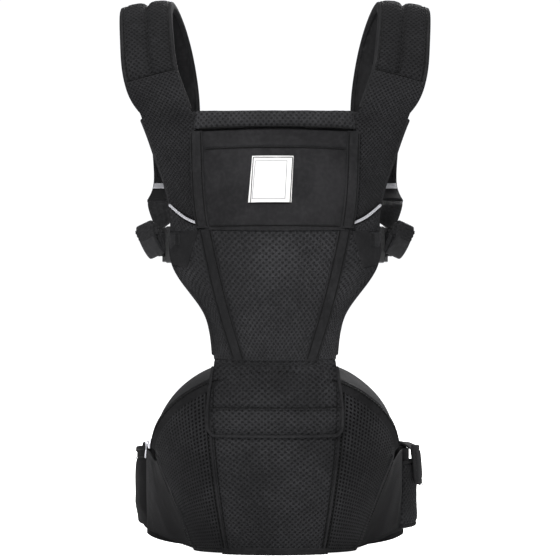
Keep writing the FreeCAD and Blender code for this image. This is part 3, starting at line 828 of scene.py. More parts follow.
def seat_back(u, v):
    f = seat_front(u, v)
    out = BELT_PAD + 1.5
    share = np.minimum(1.0, np.abs(f[..., 0]) / (WAIST_X + out))
    rise = 9.0 * v ** 3 * (1 - np.abs(u) ** 3)
    return vec(f[..., 0], WAIST_CENTRE_Y - (WAIST_Y + out) * np.sqrt(1 - share ** 2),
               f[..., 2] + rise)


def seam(v):
    """Share across at which the front panel meets the side mesh, at a share of the height."""
    return 0.412 - 0.052 * np.asarray(v, float) ** 3


def on_seat(x, z):
    """The point on the seat's front face at a given x and height."""
    x, z = np.broadcast_arrays(np.asarray(x, float), np.asarray(z, float))
    u = np.zeros(x.shape)
    for _ in range(SEAT_ROUNDS):
        share = (z / zip_arc(u)[..., 2]) ** SEAT_POWER
        reach = FOOT_X + (ZIP_RADIUS - FOOT_X) * share
        u = np.degrees(np.arcsin(np.clip(x / reach, -1, 1))) / ZIP_SWEEP
    return seat_front(u, z / zip_arc(u)[..., 2])


def level(value):
    """An edge that stays at one value."""
    return lambda s: value + 0 * s


def grid(s_shares, t_shares, surface):
    s, t = np.meshgrid(s_shares, t_shares, indexing="ij")
    return surface(s, t)


FRONT = (0, -1, 0.2)


# ---- hip seat -----------------------------------------------------------------------------------
def seat_panel(u_low, u_high, v_low, v_high, count_u, count_v, wide, tall):
    def surface(s, t):
        v = v_low + (v_high - v_low) * t
        low, high = u_low(v), u_high(v)
        return seat_front(low + (high - low) * s, v)
    return grid(spread(count_u, wide, 1.6), spread(count_v, tall, 1.6), surface)


def flat_distance(p):
    """How far each grid point is from the nearest edge of its sheet, in millimetres."""
    s, t = lengths(p)
    return np.minimum(np.minimum(s, s[-1] - s)[:, None], np.minimum(t, t[-1] - t)[None, :])


def cloth_uv(p):
    s, t = lengths(p)
    return np.broadcast_arrays(s[:, None], t[None, :])


def quilted(p, pitch_u, pitch_v, depth, pillow, seed, crease=0.5, size=38.0):
    """Height of a mesh sheet: a soft pillow, a lattice of dimples and a few creases."""
    s, t = cloth_uv(p)
    d = flat_distance(p)
    inside = smooth(d, 1.5, 6.0)
    return pillow * smooth(d, 0, 16) - depth * dimples(s, t, pitch_u, pitch_v) * inside \
        + crease * creases(s, t, size, seed) * smooth(d, 2, 14)


def build_seat():
    front = seat_panel(lambda v: -seam(v) + 0.006, lambda v: seam(v) - 0.006, LOW, HIGH, 96, 130,
                       130, 205)
    cloth("seat_front", front, FRONT, 2.4, MESH, "hip_seat", ("seat_front_cover",), 1.4,
          quilted(front, 6.6, 6.0, 0.85, 1.6, 3), 0.4)
    strip = grid(2 * (0.452 * spread(90, 150, 0.8)) - 0.452, 0.002 + 0.046 * spread(8, 9, 0.8),
                 seat_front)
    s, t = cloth_uv(strip)
    cloth("seat_base_strip", strip, FRONT, 1.6, BAND, "hip_seat", (), 0.7,
          0.3 * creases(s, t, 24, 19), 2.4)
    for sign, side in SIDES:
        p = seat_panel(lambda v: seam(v) + 0.006, level(HIGH), LOW, HIGH, 60, 84, 90, 170)
        p = both_ways(p, sign)
        lift = quilted(p, 50, 50, 0.0, 2.2, 11 + sign, 0.7, 46.0)
        cloth("seat_mesh_" + side, p, (sign * 0.7, -0.8, 0.1), 2.2, HOLES, "hip_seat",
              once(sign, "seat_side_mesh"), 1.3, lift, 0.4)
    # piped seams between the three front panels, with a row of thread on each side
    v = np.linspace(0.015, 0.97, 90)
    cords = []
    for sign in (1, -1):
        line = seat_front(sign * seam(v), v)
        out = unit(np.cross(np.gradient(line, axis=0), [sign, 0.3, 0.0]) * sign)
        out = out * np.sign((out * [0, -1, 0]).sum(-1, keepdims=True))
        cords.append(tube(line + out * 3.0, [sign * 0.3, -1, 0.2], 1.35, 1.35))
        for shift in (-4.2, 4.2):
            offset = seat_front(sign * seam(v) + shift / 175.0, v)
            stitch("hip_seat", offset + out * 3.8, out)
    points, faces = merge(cords)
    piece("seat_cords", points, faces, BAND, "hip_seat", ("seat_piping",), uv=points[:, [0, 2]])
    build_seat_body()
    build_zip()


def build_seat_body():
    # the stuffed block behind the covers
    us, vs = np.linspace(-HIGH, HIGH, 60), np.linspace(LOW, HIGH, 40)
    f = grid(us, vs, seat_front)
    b = grid(us, vs, seat_back)
    inward = unit(b - f) * 3.0
    f, b = f + inward, b - unit(b - f) * 1.0
    n, m = f.shape[:2]
    points = np.concatenate([f.reshape(-1, 3), b.reshape(-1, 3)])
    points[:, 2] = np.maximum(points[:, 2], 0.6)
    faces = quads(n, m)
    faces = [tuple(reversed(q)) for q in faces] + [tuple(i + n * m for i in q) for q in faces]
    rim = [i * m for i in range(n)] + [(n - 1) * m + j for j in range(1, m)]
    rim += [i * m + m - 1 for i in range(n - 2, -1, -1)] + list(range(m - 2, 0, -1))
    for a, c in zip(rim, rim[1:] + rim[:1]):
        faces.append((a, c, c + n * m, a + n * m))
    body = piece("seat_block", points, faces, SHELL, None, ("seat_core",))
    middle = grid(us, np.linspace(0, 1, 40), lambda u, v: (seat_front(u, v) + seat_back(u, v)) / 2)
    soften(body, on_grid(middle, normals(middle, FRONT)), None, 6.0, 3.0, 1.5)
    co = coords(body.data)
    co[:, 2] = np.maximum(co[:, 2], 0.4)
    set_coords(body.data, co)
    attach(body, "hip_seat")

    # smooth top cover from the zip back to the belly
    def top(s, t):
        f, b = seat_front(s, 1.0 + 0 * s), seat_back(s, 1.0 + 0 * s)
        p = f + (b - f) * t[..., None]
        crown = 9.0 * np.sin(math.pi * np.clip(t, 0, 1)) ** 0.8 * (1 - np.abs(s) ** 4)
        return p + vec(0, 0, crown)
    us = -0.975 + 1.95 * spread(110, 370, 1.2)
    p = grid(us, spread(50, 130, 1.2) * 0.985, top)
    s, t = cloth_uv(p)
    lift = 0.8 * creases(s, t, 60, 5) + 1.0 * bell(t - 2.5, 2.0)
    cloth("seat_top", p, (0, -0.3, 1), 1.6, SHELL, "hip_seat", ("seat_top_cover",), 0.5, lift, 0.2)
    edge = grid(np.linspace(-0.95, 0.95, 150), np.array([0.05, 0.06]), top)[:, 0]
    stitch("hip_seat", edge + vec(0, -0.9, 3.0), [0, -0.6, 0.8])

    # side gussets
    for sign, side in SIDES:
        def gusset(v, t):
            f, b = seat_front(1 + 0 * v, v), seat_back(1 + 0 * v, v)
            return (f + (b - f) * t[..., None]) * [sign, 1, 1]
        p = grid(0.03 + 0.955 * spread(40, 110, 1.2), 0.02 + 0.9 * spread(24, 50, 1.2), gusset)
        s, t = cloth_uv(p)
        cloth("seat_gusset_" + side, p, (sign, 0, 0), 1.8, SHELL, "hip_seat",
              once(sign, "side_gusset"), 0.3,
              1.6 * smooth(flat_distance(p), 0, 14) + 0.5 * creases(s, t, 30, 7 + sign), 0.1)


TEETH, TOOTH_SLANT, TEETH_BELOW = 190, 0.35, 2.4


def build_zip():
    """Tape, coil and the plated slider of the zip."""
    axis = np.array([0, math.sin(ZIP_TILT), math.cos(ZIP_TILT)])
    u = np.linspace(-0.985, 0.985, 200)
    p = np.stack([zip_arc(u, ZIP_RADIUS + 3.3) + axis * h for h in np.linspace(-4.6, 3.6, 9)], 1)
    cloth("zip_tapes", p, (0, -0.7, 0.7), 1.0, TAPE, "hip_seat", ("zip_tape",), 0.0, None, 0.3)
    teeth = []
    for k in range(TEETH):
        a = -0.98 + 1.96 * k / (TEETH - 1)
        centre = zip_arc(a, ZIP_RADIUS + 4.7)
        away = unit(centre - ZIP_CENTRE)
        along = np.cross(axis, away)
        tilt = unit(axis + along * (TOOTH_SLANT if k % 2 else -TOOTH_SLANT))
        bar = centre - axis * TEETH_BELOW + tilt * np.linspace(-1.5, 1.5, 4)[:, None]
        teeth.append(tube(bar, away, 0.75, 0.7, sides=6, round_ends=False))
    points, faces = merge(teeth)
    piece("zip_teeth", points, faces, COIL, "hip_seat")
    for node in ("zip_slider", "zip_pull"):
        paint(node, METAL)


def paint(node, material):
    """A CAD node whose shape is right keeps its mesh and gets a finished material."""
    obj = frame["nodes"][node]
    obj.data.materials.clear()
    obj.data.materials.append(material)


# ---- front flap ---------------------------------------------------------------------------------
def build_flap():
    half = curve((129, 67), (150, 68), (180, 66), (207, 62.5))
    hem, tall, corner, sewn_row, binding = 129.0, 77.8, 9.0, 30.5, 8.1

    def surface(s, t):
        z = hem + tall * t
        low = np.clip((hem + corner - z) / corner, 0, 1)
        wide = half(z) - corner * (1 - np.sqrt(1 - low ** 2))
        return on_seat(wide * (2 * s - 1), z)
    p = grid(spread(104, 130, 1.6), spread(66, 82, 1.6), surface)
    out = normals(p, FRONT)
    s, t = cloth_uv(p)
    d = flat_distance(p)
    sag = 1.2 * smooth(t, 0, 40) * creases(s, t, 45, 21)
    row = np.abs(t - sewn_row)
    lift = quilted(p, 7.4, 6.8, 1.1, 2.0, 23, 0.0) + sag - 2.6 * bell(row, 1.2)
    lift = lift - 0.9 * bell(d - 4.6, 0.8)
    cloth("flap", p, FRONT, 3.0, MESH, "front_flap", ("front_flap",), 6.4, lift, 0.8)
    # bound edge: left, bottom and right
    rim = np.concatenate([p[0, -8::-1], p[1:-1, 0], p[-1, :-7]])
    rim_out = np.concatenate([out[0, -8::-1], out[1:-1, 0], out[-1, :-7]])
    path = resample(rim + rim_out * binding, 260)
    outs = resample(rim_out, 260)
    centre = np.array([0, 0, 168.0])
    inward = unit(centre - path)
    tape = tube(path + inward * 1.2, outs, 1.6, 2.0, 2.6, 14)
    piece("flap_binding", *tape, BAND, "front_flap", uv=tape[0][:, [0, 2]])
    stitch("front_flap", path + inward * 3.2 + outs * 1.8, outs)
    line = p[4:-4, int(np.argmin(np.abs(t[0] - sewn_row)))] + out[4:-4, 20] * 9.8
    stitch("front_flap", line, out[4:-4, 20], lift=-0.1)
    # hook tape behind the flap and loop tape on the seat
    hook = grid(np.linspace(-40, 40, 30), np.linspace(138, 154, 8), on_seat)
    cloth("flap_hooks", hook, FRONT, 0.8, HOOK, "front_flap", ("flap_hook_tape",), 5.1, None, 0.3)
    loop = grid(np.linspace(-44, 44, 30), np.linspace(134, 156, 8), on_seat)
    cloth("seat_loops", loop, FRONT, 0.7, HOOK, "hip_seat", ("flap_loop_tape",), 3.9, None, 0.3)


# ---- belt ---------------------------------------------------------------------------------------
belt_low = curve((0, 8), (40, 10), (75, 17), (110, 30), (142, 40))
belt_high = curve((0, 150), (35, 135), (62, 116), (90, 110), (118, 98), (142, 84))


def waist_point(angle, z, out=0.0):
    a = np.radians(np.asarray(angle, float))
    return vec((WAIST_X + out) * np.sin(a), WAIST_CENTRE_Y - (WAIST_Y + out) * np.cos(a), z)


def belt_grid(first, last, low, high, count_a, count_z, wide, tall):
    """Grid on the waist between two angles and two edges that are functions of the angle."""
    def surface(s, t):
        a = first + (last - first) * s
        bottom, top = low(np.abs(a)), high(np.abs(a))
        return waist_point(a, bottom + (top - bottom) * t)
    return grid(spread(count_a, wide, 1.6), spread(count_z, tall, 1.6), surface)


def radial(p):
    """Direction from the wearer outwards at points of the belt."""
    return vec(p[..., 0], p[..., 1] - WAIST_CENTRE_Y, 0)


def sew(row, body="hip_seat", pitch=PITCH):
    """Stitches along a line that lies on the belt."""
    stitch(body, row, radial(row), pitch)


def bind(name, path, wide, thick, power, sides=14):
    """Binding tape along a line that lies on the belt."""
    part = tube(path, radial(path), wide, thick, power, sides)
    around = part[0][:, 0] + part[0][:, 1]
    piece(name, *part, BAND, "hip_seat", uv=np.stack([around, part[0][:, 2]], -1))


def belt_pad(name, first, last, seed):
    p = belt_grid(first, last, lambda a: belt_low(a) + 1.2, lambda a: belt_high(a) - 1.2, 70, 34,
                  200, 100)

    def shape(u, v, side):
        groove = 1.6 * bell(v - 46.0, 2.2)
        edge = 0.8 * bell(v - 6.0, 1.6)
        return 0.5 * creases(u, v, 40, seed) - groove - edge
    padded(name, p, FORWARD, 8.2, SHELL, "hip_seat", (name,), 0.9, shape, 4.5, 4.0, 1.6,
           back=WIDE_MESH)


def build_belt():
    for name, first, last, seed in (("belt_belly_pad", -60, 60, 31),
                                    ("belt_wing_right", 56, 141.6, 33),
                                    ("belt_wing_left", -141.6, -56, 35)):
        belt_pad(name, first, last, seed)
    for sign, side in SIDES:
        a = np.linspace(58.6, 141.0, 160) * sign
        for place, edge_of, inward in (("low", belt_low, 1), ("high", belt_high, -1)):
            edge = edge_of(np.abs(a)) + 2.0 * inward
            bind(f"wing_binding_{side}_{place}", waist_point(a, edge, 5.0), 2.6, 4.6, 3.0)
            sew(waist_point(a, edge + 4.6 * inward, 10.0))
    build_pocket()
    build_pouch()
    build_pouch_fold()
    build_base_band()
    build_hip_sides()
    build_belt_webbing()


def bag_grid(sign, low, high, first=62.4, last=117.6, count=70, tall=34):
    p = belt_grid(first, last, low, high, count, tall, 118, 84)
    return p * [-1, 1, 1] if sign < 0 else p


def build_pocket():
    """Flat patch pocket of smooth cloth on the left wing, with a bound mouth."""
    low = curve((60, 20), (90, 24), (118, 34))
    high = curve((60, 108), (90, 104), (118, 92))
    p = bag_grid(-1, low, high)[::-1]
    s, t = cloth_uv(p)
    d = flat_distance(p)
    bulge = 2.6 * smooth(d, 0, 26) + 0.9 * creases(s, t, 34, 41) * smooth(d, 3, 18)
    hem = bell(t[0, -1] - t - 11.0, 1.0)
    bulge = bulge - 0.9 * hem + 0.5 * bell(t[0, -1] - t - 6.0, 3.0)
    # the shaded side cloth: painted shade on the sideways-facing pocket
    cloth("hip_pocket", p, (-1, -0.6, 0), 4.2, SHADED_SIDE_CLOTH, "hip_seat", ("hip_pocket_left",), 1.8,
          bulge, 10.3)
    a = np.linspace(62.6, 117.4, 120)
    bind("pocket_binding", waist_point(-a, high(a) - 1.0, 14.4), 2.4, 2.4, 2.6, 12)
    a = np.linspace(64, 116, 110)
    for gap, lift in ((3.0, 0.4), (11.0, 0.6)):
        sew(waist_point(-a, high(a) - gap, 16.2 + lift))
    for edge in (63.6, 116.2):
        sew(waist_point(-edge, np.linspace(low(edge) + 6, high(edge) - 6, 60), 15.2))


def build_pouch():
    """Gusseted pouch of spacer mesh on the right wing, with a flap of smooth cloth."""
    low = curve((60, 19), (90, 20), (118, 25))
    high = curve((60, 91), (90, 91), (118, 89))
    p = bag_grid(1, low, high)

    def shape(u, v, side):
        front = (side > 0) * 1.0
        return front * (0.8 * creases(u, v, 30, 51) - 0.45 * dimples(u, v, 6.6, 6.0))
    padded("pouch", p, (1, -0.4, 0), 7.2, MESH, "hip_seat", ("pouch_right",), 10.9, shape, 4.0, 4.0,
           1.3)
    a = np.linspace(62.8, 117.2, 130)
    for edge, name in ((low(a) + 1.2, "low"), (high(a) - 1.2, "high")):
        bind("pouch_binding_" + name, waist_point(a, edge, 14.8), 2.0, 4.0, 2.8)
    top = curve((70, 108), (108, 104))
    flap_low = curve((70, 66.5), (76, 64), (89, 63.4), (102, 64), (108, 66.5))
    p = bag_grid(1, flap_low, top, 71.5, 106.5, 60, 34)
    s, t = cloth_uv(p)
    p = p + unit(radial(p)) * (3.5 * (1 - t / t.max()))[..., None]
    d = flat_distance(p)
    lift = 0.8 * smooth(d, 0, 14) + 0.6 * creases(s, t, 26, 57) * smooth(d, 2, 10)
    lift = lift - 0.7 * bell(d - 5.5, 0.8)
    cloth("pouch_cover", p, (1, -0.4, 0), 2.0, BAND, "pouch_flap", ("pouch_flap",), 1.0, lift, 19.9)
    inner = 5.5 / 84
    for share in (inner, 1 - inner):
        row = p[int(share * (len(p) - 1)), 3:-3]
        stitch("pouch_flap", row + unit(radial(row)) * 22.2, radial(row))
    sew(p[4:-4, 4] + unit(radial(p[4:-4, 4])) * 22.4, "pouch_flap")


def build_pouch_fold():
    """Cloth that leads from the wing's top edge out and over to the flap of the pouch."""
    def surface(s, t):
        angle = 69.5 + 38.5 * s
        z = belt_high(angle) - 2.5 + (106.5 - belt_high(angle)) * t + 3.0 * np.sin(t * math.pi)
        return waist_point(angle, z, 3.0 + 9.7 * t + 7.9 * (1 - np.cos(t * math.pi / 2)))
    p = grid(spread(40, 76, 1.4), spread(16, 22, 1.4), surface)
    for angle, name in ((68.5, "front"), (109.5, "rear")):
        gusset = grid(spread(14, 15, 1.4), spread(16, 20, 1.4),
                      lambda s, t: waist_point(angle + 1.5 * s, 88.0 + 17.5 * t, 4.0 + 14.5 * s))
        a, b = cloth_uv(gusset)
        cloth("pouch_gusset_" + name, gusset, (0, -1 if name == "front" else 1, 0), 1.2, BAND,
              "hip_seat", (), 0.1, 0.3 * creases(a, b, 12, 60), 0.0)
    s, t = cloth_uv(p)
    cloth("pouch_flap_fold", p, (0.3, -0.2, 1), 1.6, BAND, "hip_seat", (), 0.2,
          0.5 * creases(s, t, 22, 59), 0.0)


def build_hip_sides():
    """Plain cloth between the seat's side mesh and the pocket or pouch on the hip."""
    for sign, side, far in ((1, "right", 13.0), (-1, "left", 15.0)):
        lines = []
        for t in spread(50, 96, 1.2):
            seat_z = 4.0 + 92.0 * t
            v = seat_z / 112.0
            near = seat_front(0.90 + 0.06 * t, v) + [2.5, -1.0, 0]
            tuck = seat_front(0.80 + 0.13 * t, v) + [3.0, -2.6, 0]
            back = waist_point(66.0, 19.0 + 86.0 * t, far)
            middle = (near + back) / 2 + [4.5 * math.sin(math.pi * t), -3.0, -1.5]
            lines.append(spline([tuck, near, middle, back], 44))
        p = both_ways(np.array(lines).transpose(1, 0, 2), sign)
        s, t = cloth_uv(p)
        d = flat_distance(p)
        pressed = bell(d - 4.0, 0.9) * 0.7
        # the shaded side cloth: painted shade on the sideways-facing hip cloth
        cloth("hip_side_" + side, p, (sign * 0.6, -1, 0), 1.8, SHADED_SIDE_CLOTH, "hip_seat", (), 0.9,
              0.8 * creases(s, t, 36, 63 + sign) * smooth(d, 2, 12) - pressed, 0.0)
        edge = p[0] if sign > 0 else p[-1]
        out = normals(p, (sign * 0.6, -1, 0))[0 if sign > 0 else -1]
        inner = p[5] if sign > 0 else p[-6]
        stitch("hip_seat", inner[2:-2] + out[2:-2] * 1.9, out[2:-2])
        part = tube(edge[1:-1] + out[1:-1] * 0.9, out[1:-1], 0.9, 1.3)
        piece("hip_side_piping_" + side, *part, BAND, "hip_seat", uv=part[0][:, [0, 2]])


def build_base_band():
    for sign, side in SIDES:
        p = belt_grid(26.0, 78.0, lambda a: belt_low(a) - 7.6, lambda a: belt_low(a) + 4.0, 60, 16,
                      125, 12)
        p = both_ways(p, sign)
        s, t = cloth_uv(p)
        cloth("base_band_" + side, p, (sign, -0.6, 0), 5.2, BAND, "hip_seat",
              once(sign, "belt_base_band"), 2.2,
              0.3 * creases(s, t, 22, 61 + sign), 2.4)


def build_belt_webbing():
    """Belt webbing around the back. The side that carries the plug is not attached to a body."""
    for sign, last, body in ((-1, 171.6, "hip_seat"), (1, 173.2, None)):
        a = np.linspace(139.0, last, 90)
        path = waist_point(a * sign, WAIST_Z, 11.2)
        part = tube(path, radial(path), 18.6, 0.85, 5.0, 20)
        name = "belt_webbing_" + ("right" if sign > 0 else "left")
        cad = ("belt_webbing",) if sign < 0 else ()
        side = part[0][:, 2] - WAIST_Z
        along = travel(path)[nearest(part[0], path)]
        obj = piece(name, *part, WEBBING, body, cad, uv=np.stack([side, along], -1))
        if body is None:
            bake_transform(obj)
        # the webbing is sewn down on the wing with a boxed cross
        box = [waist_point(sign * q, WAIST_Z + h, 12.4) for q, h in
               ((139.6, -15), (139.6, 15), (141.4, 15), (141.4, -15), (139.6, -15))]
        for first, second in zip(box, box[1:]):
            sew(np.linspace(first, second, 12), pitch=3.0)


# ---- upper panel --------------------------------------------------------------------------------
panel_edge = curve((208, 62), (238, 64), (256, 69), (272, 79), (289, 92), (306, 102), (345, 104),
                   (368, 106), (390, 111), (420, 122), (445, 131.5), (467, 141))
panel_y = curve((208, -104), (260, -113), (320, -113), (380, -104), (440, -90), (467, -83))
panel_wrap = curve((208, 28), (256, 58), (306, 60), (345, 62), (380, 49), (420, 28), (467, 13))
trim_x = curve((207, 36), (270, 52), (346, 68), (400, 75), (445, 79))


def panel_at(x, z):
    x, z = np.broadcast_arrays(np.asarray(x, float), np.asarray(z, float))
    return vec(x, panel_y(z) + panel_wrap(z) * (np.abs(x) / 104.0) ** 2.2, z)


def panel_grid(x_low, x_high, z_low, z_high, count_x, count_z, wide, tall, edge=1.4):
    """Grid on the panel. x edges are functions of height, z edges of the share across."""
    def surface(s, t):
        z = z_low(s) + (z_high(s) - z_low(s)) * t
        low, high = x_low(z), x_high(z)
        return panel_at(low + (high - low) * s, z)
    return grid(spread(count_x, wide, edge), spread(count_z, tall, edge), surface)


def full_width(edge, inset, *rest):
    """Grid on the panel between a line and its mirror image."""
    return panel_grid(lambda z: inset - edge(z), lambda z: edge(z) - inset, *rest)


def build_panel():
    # padded lining, seen from behind
    p = full_width(panel_edge, 1.2, level(208.6), level(466.0), 90, 120, 220, 260)
    s, t = cloth_uv(p)
    tufts = dimples(s, t, 26, 26) * smooth(flat_distance(p), 6, 16)
    quilting = 0.5 * creases(s, t, 42, 71) - 0.9 * tufts
    cloth("panel_lining", p, FORWARD, 3.8, LINING, "carrier_panel", ("panel_liner",), 1.8,
          None, 0.2, -quilting)

    # centre mesh below the pocket
    p = full_width(trim_x, 0.8, level(207.8), level(344.0), 110, 120, 110, 135)
    s, t = cloth_uv(p)
    lift = quilted(p, 5.6, 6.2, 0.55, 1.2, 73, 0.0) + 0.5 * creases(s, t, 50, 75)
    cloth("panel_mesh", p, FORWARD, 2.4, WIDE_MESH, "carrier_panel", ("centre_mesh",), 1.2, lift,
          FACE)
    build_side_panels()
    build_trims()
    build_hood_pocket()
    build_headrest()
    build_label()
    build_panel_edge()
    build_fold()


def pipe_height(s):
    """Sagging seam between the wings and the mesh above them."""
    return 349.0 + 20.0 * s - 3.0 * np.sin(math.pi * np.clip(s, 0, 1))


def yoke_grid():
    """Inner face of the right side mesh: from the reflective piping up over the strap's base."""
    columns = []
    for share in spread(60, 55, 1.4):
        low = float(pipe_height(share)) + 1.0
        z = np.concatenate([np.linspace(low, 446.0, 12), [455.0]])
        x = trim_x(z) + 0.4 + (panel_edge(z) - 1.0 - trim_x(z)) * share
        panel_part, _ = panel_line(x, z, FACE)
        along = np.linspace(0.012, BASE_END + 0.003, 8)
        across = np.full(8, 1.94 * share - 0.97)
        depth = strap_thick(along) / 2 * (1 - 0.3 * across ** 2) + 0.1
        strap_side, _ = strap_line(along, across, depth, 1)
        columns.append(np.concatenate([panel_part, strap_side]))
    knots = np.array(columns)
    length = travel(knots.mean(0))
    where = spread(150, length[-1], 1.4) * length[-1]
    flat = knots.transpose(1, 0, 2).reshape(len(length), -1)
    fine = np.stack([curve(*zip(length, flat[:, k]))(where) for k in range(flat.shape[1])], -1)
    return fine.reshape(len(where), len(columns), 3).transpose(1, 0, 2)


def build_side_panels():
    for sign, side in SIDES:
        p = both_ways(yoke_grid(), sign)
        s, t = cloth_uv(p)
        lift = quilted(p, 4.6, 4.6, 0.45, 1.0, 81 + sign, 0.0) + 0.7 * creases(s, t, 34, 83 + sign)
        cloth("side_mesh_" + side, p, (sign * 0.2, -1, 0), 2.2, KNIT, "carrier_panel",
              once(sign, "side_mesh"), 1.2, lift, 0.0)

        # the wing that carries the side buckle has a dart
        p = panel_grid(lambda z: trim_x(z) + 0.4, lambda z: panel_edge(z) - 0.6, level(208.4),
                       lambda s: pipe_height(s) - 0.6, 70, 120, 45, 140)
        p = both_ways(p, sign)
        s, t = cloth_uv(p)
        across = np.abs(p[..., 0]) - 81.5 + (p[..., 2] - 313) * 0.3
        along = smooth(p[..., 2], 300, 305) * (1 - smooth(p[..., 2], 321, 326))
        dart = 2.0 * along * bell(across, 1.0)
        lift = quilted(p, 6.4, 6.0, 0.6, 1.3, 85, 0.0) + 0.8 * creases(s, t, 34, 87 + sign) - dart
        cloth("buckle_wing_" + side, p, (sign * 0.5, -1, 0), 2.4, WIDE_MESH, "carrier_panel",
              ("buckle_wing_" + side,), 1.2, lift, FACE)
        patch = panel_grid(lambda z: 82.5 - (z - 313) * 0.3, lambda z: panel_edge(z) - 1.0,
                           lambda s: 303.0 + 3.0 * s, level(341.0), 30, 40, 24, 36, 0.8)
        patch = both_ways(patch, sign)
        s, t = cloth_uv(patch)
        cloth("anchor_patch_" + side, patch, (sign * 0.5, -1, 0), 1.0, BAND, "carrier_panel", (),
              0.5, 0.35 * creases(s, t, 20, 89), 8.6)

        # reflective piping along the seam
        share = np.linspace(0.0, 1.0, 60)
        z = pipe_height(share) + 0.2
        x = trim_x(z) + 5.0 + (panel_edge(z) - 1.0 - trim_x(z) - 5.0) * share
        path = panel_at(x, z)
        out = normals(np.stack([path, path + [0, 0, 1]], 1), FORWARD)[:, 0]
        path = (path + out * 8.2) * [sign, 1, 1]
        out = out * [sign, 1, 1]
        part = tube(path, out, 1.5, 1.2, 2.2, 12)
        along = np.linspace(0, 40, 60)[nearest(part[0], path)]
        piece("reflective_piping_" + side, *part, SILVER, "carrier_panel",
              once(sign, "reflective_piping"), uv=np.stack([part[0][:, 2], along], -1))
        stitch("carrier_panel", path + [0, 0, -3.0] - out * 0.1, out)
        stitch("carrier_panel", path + [0, 0, 3.0] - out * 0.1, out)


def panel_line(x, z, distance):
    """Points and outward directions on a line over the panel."""
    path = panel_at(x, z)
    e = 0.5
    du = panel_at(x + e, z) - panel_at(x - e, z)
    dv = panel_at(x, z + e) - panel_at(x, z - e)
    out = unit(np.cross(du, dv))
    out = out * np.where(out[..., 1:2] > 0, -1, 1)
    return path + out * distance, out


def build_trims():
    for sign, side in SIDES:
        for name, low, high, inner in (("lower", 208.3, 343.6, 7.5), ("upper", 343.6, 444.4, 11.4)):
            p = panel_grid(lambda z: trim_x(z) - 6.4, lambda z: trim_x(z) + 6.4, level(low),
                           level(high), 22, 100, 13, high - low, 0.9)
            p = both_ways(p, sign)
            s, t = cloth_uv(p)
            lift = 0.35 * creases(s, t, 26, 91) - 0.35 * bell(np.minimum(s, s[-1:] - s) - 1.8, 0.6)
            cloth(f"trim_{name}_{side}", p, (sign * 0.3, -1, 0), 1.5, BAND, "carrier_panel",
                  once(sign, "trim_" + name), 0.7, lift, inner)
            z = np.linspace(low + 2, high - 2, 120)
            for shift in (-4.6, 4.6):
                path, out = panel_line(trim_x(z) + shift, z, inner + 1.62)
                stitch("carrier_panel", path * [sign, 1, 1], out * [sign, 1, 1])


def build_hood_pocket():
    """The pocket panel with the folded hood inside it."""
    p = full_width(trim_x, 9.5, level(351.0), level(436.0), 50, 34, 130, 85)
    s, t = cloth_uv(p)
    folds = 0.8 * np.abs(np.sin(t / 5.5 + 0.4 * np.sin(s / 17.0)))
    cloth("folded_hood", p, FORWARD, 2.6, BAND, "carrier_panel", ("stowed_hood",), 1.2, folds,
          4.9)
    p = full_width(trim_x, 0.6, lambda s: 341.8 - 1.6 * np.sin(math.pi * np.clip(s, 0, 1)),
                   level(444.2), 110, 110, 145, 103)
    s, t = cloth_uv(p)
    wide, tall = s[-1, 0], t[0, -1]
    bulge = 1.6 * smooth(flat_distance(p), 0, 30)
    slack = 0.5 * np.sin((s / wide) * 7.0 + 1.0) * bell(t - tall * 0.45, 30)
    wrinkle = 0.55 * creases(s, t, 40, 95) * smooth(flat_distance(p), 3, 20)
    hem = t - (tall - 19.0)
    lift = bulge + slack + wrinkle - 1.0 * bell(hem, 0.9)
    lift = lift + 0.5 * smooth(hem, 0.5, 3.0) - 0.5 * bell(t - 3.5, 0.8)
    cloth("hood_pocket", p, FORWARD, 1.6, BAND, "carrier_panel", ("hood_pocket",), 0.8, lift,
          9.0)
    share = np.linspace(0.05, 0.95, 140)
    for z, distance in ((425.4, 12.0), (345.3, 11.4)):
        x = (2 * share - 1) * (trim_x(z) - 1)
        path, out = panel_line(x, z + 0 * x, distance)
        stitch("carrier_panel", path, out)


def build_headrest():
    """Rolled neck support along the top edge: a stuffed tube with gathered ends."""
    p = panel_grid(level(-81.5), level(81.5), level(445.6), level(467.6), 90, 14, 160, 20)

    def shape(u, v, side):
        gathers = 0.5 * np.sin(u * 0.9) * (bell(u, 14)
                                          + bell(u - 158, 14))
        return gathers + 0.7 * creases(u, v, 30, 99) * (side > 0)
    padded("headrest_roll", p, FORWARD, 8.6, WIDE_MESH, "headrest", ("headrest",), 5.6, shape, 3.5,
           4.0, 1.3)
    x = np.linspace(-75, 75, 150)
    path, out = panel_line(x, 446.6 + 0 * x, 14.6)
    stitch("headrest", path, out)


def build_label():
    p = panel_grid(lambda z: -20.4 + (z - 392.5) * 0.06 - 3.4, lambda z: 20.4 + (z - 392.5) * 0.06
                   - 3.4, level(368.6), level(416.4), 40, 46, 41, 48, 0.4)
    s, t = cloth_uv(p)
    cloth("label", p, FORWARD, 0.8, LABEL, "carrier_panel", ("label_patch",), 0.35,
          0.12 * creases(s, t, 18, 103), 11.9)
    outline = np.concatenate([p[1:-1, 1], p[-2, 1:-1], p[1:-1, -2][::-1], p[1, 1:-1][::-1]])
    out = np.array([0, -1.0, 0.1])
    stitch("carrier_panel", resample(outline, 200) + unit(out) * 12.75, out, 2.6, 0.28)


def bind_edge(name, path, out, wide, thick, power, sides, distance):
    """Binding tape along an edge; distance is how far along its cloth each path point lies."""
    part = tube(path, out, wide, thick, power, sides)
    near = nearest(part[0], path)
    away = ((part[0] - path[near]) * out[near]).sum(1)
    piece(name, *part, BAND, "carrier_panel", uv=np.stack([away, distance[near]], -1))


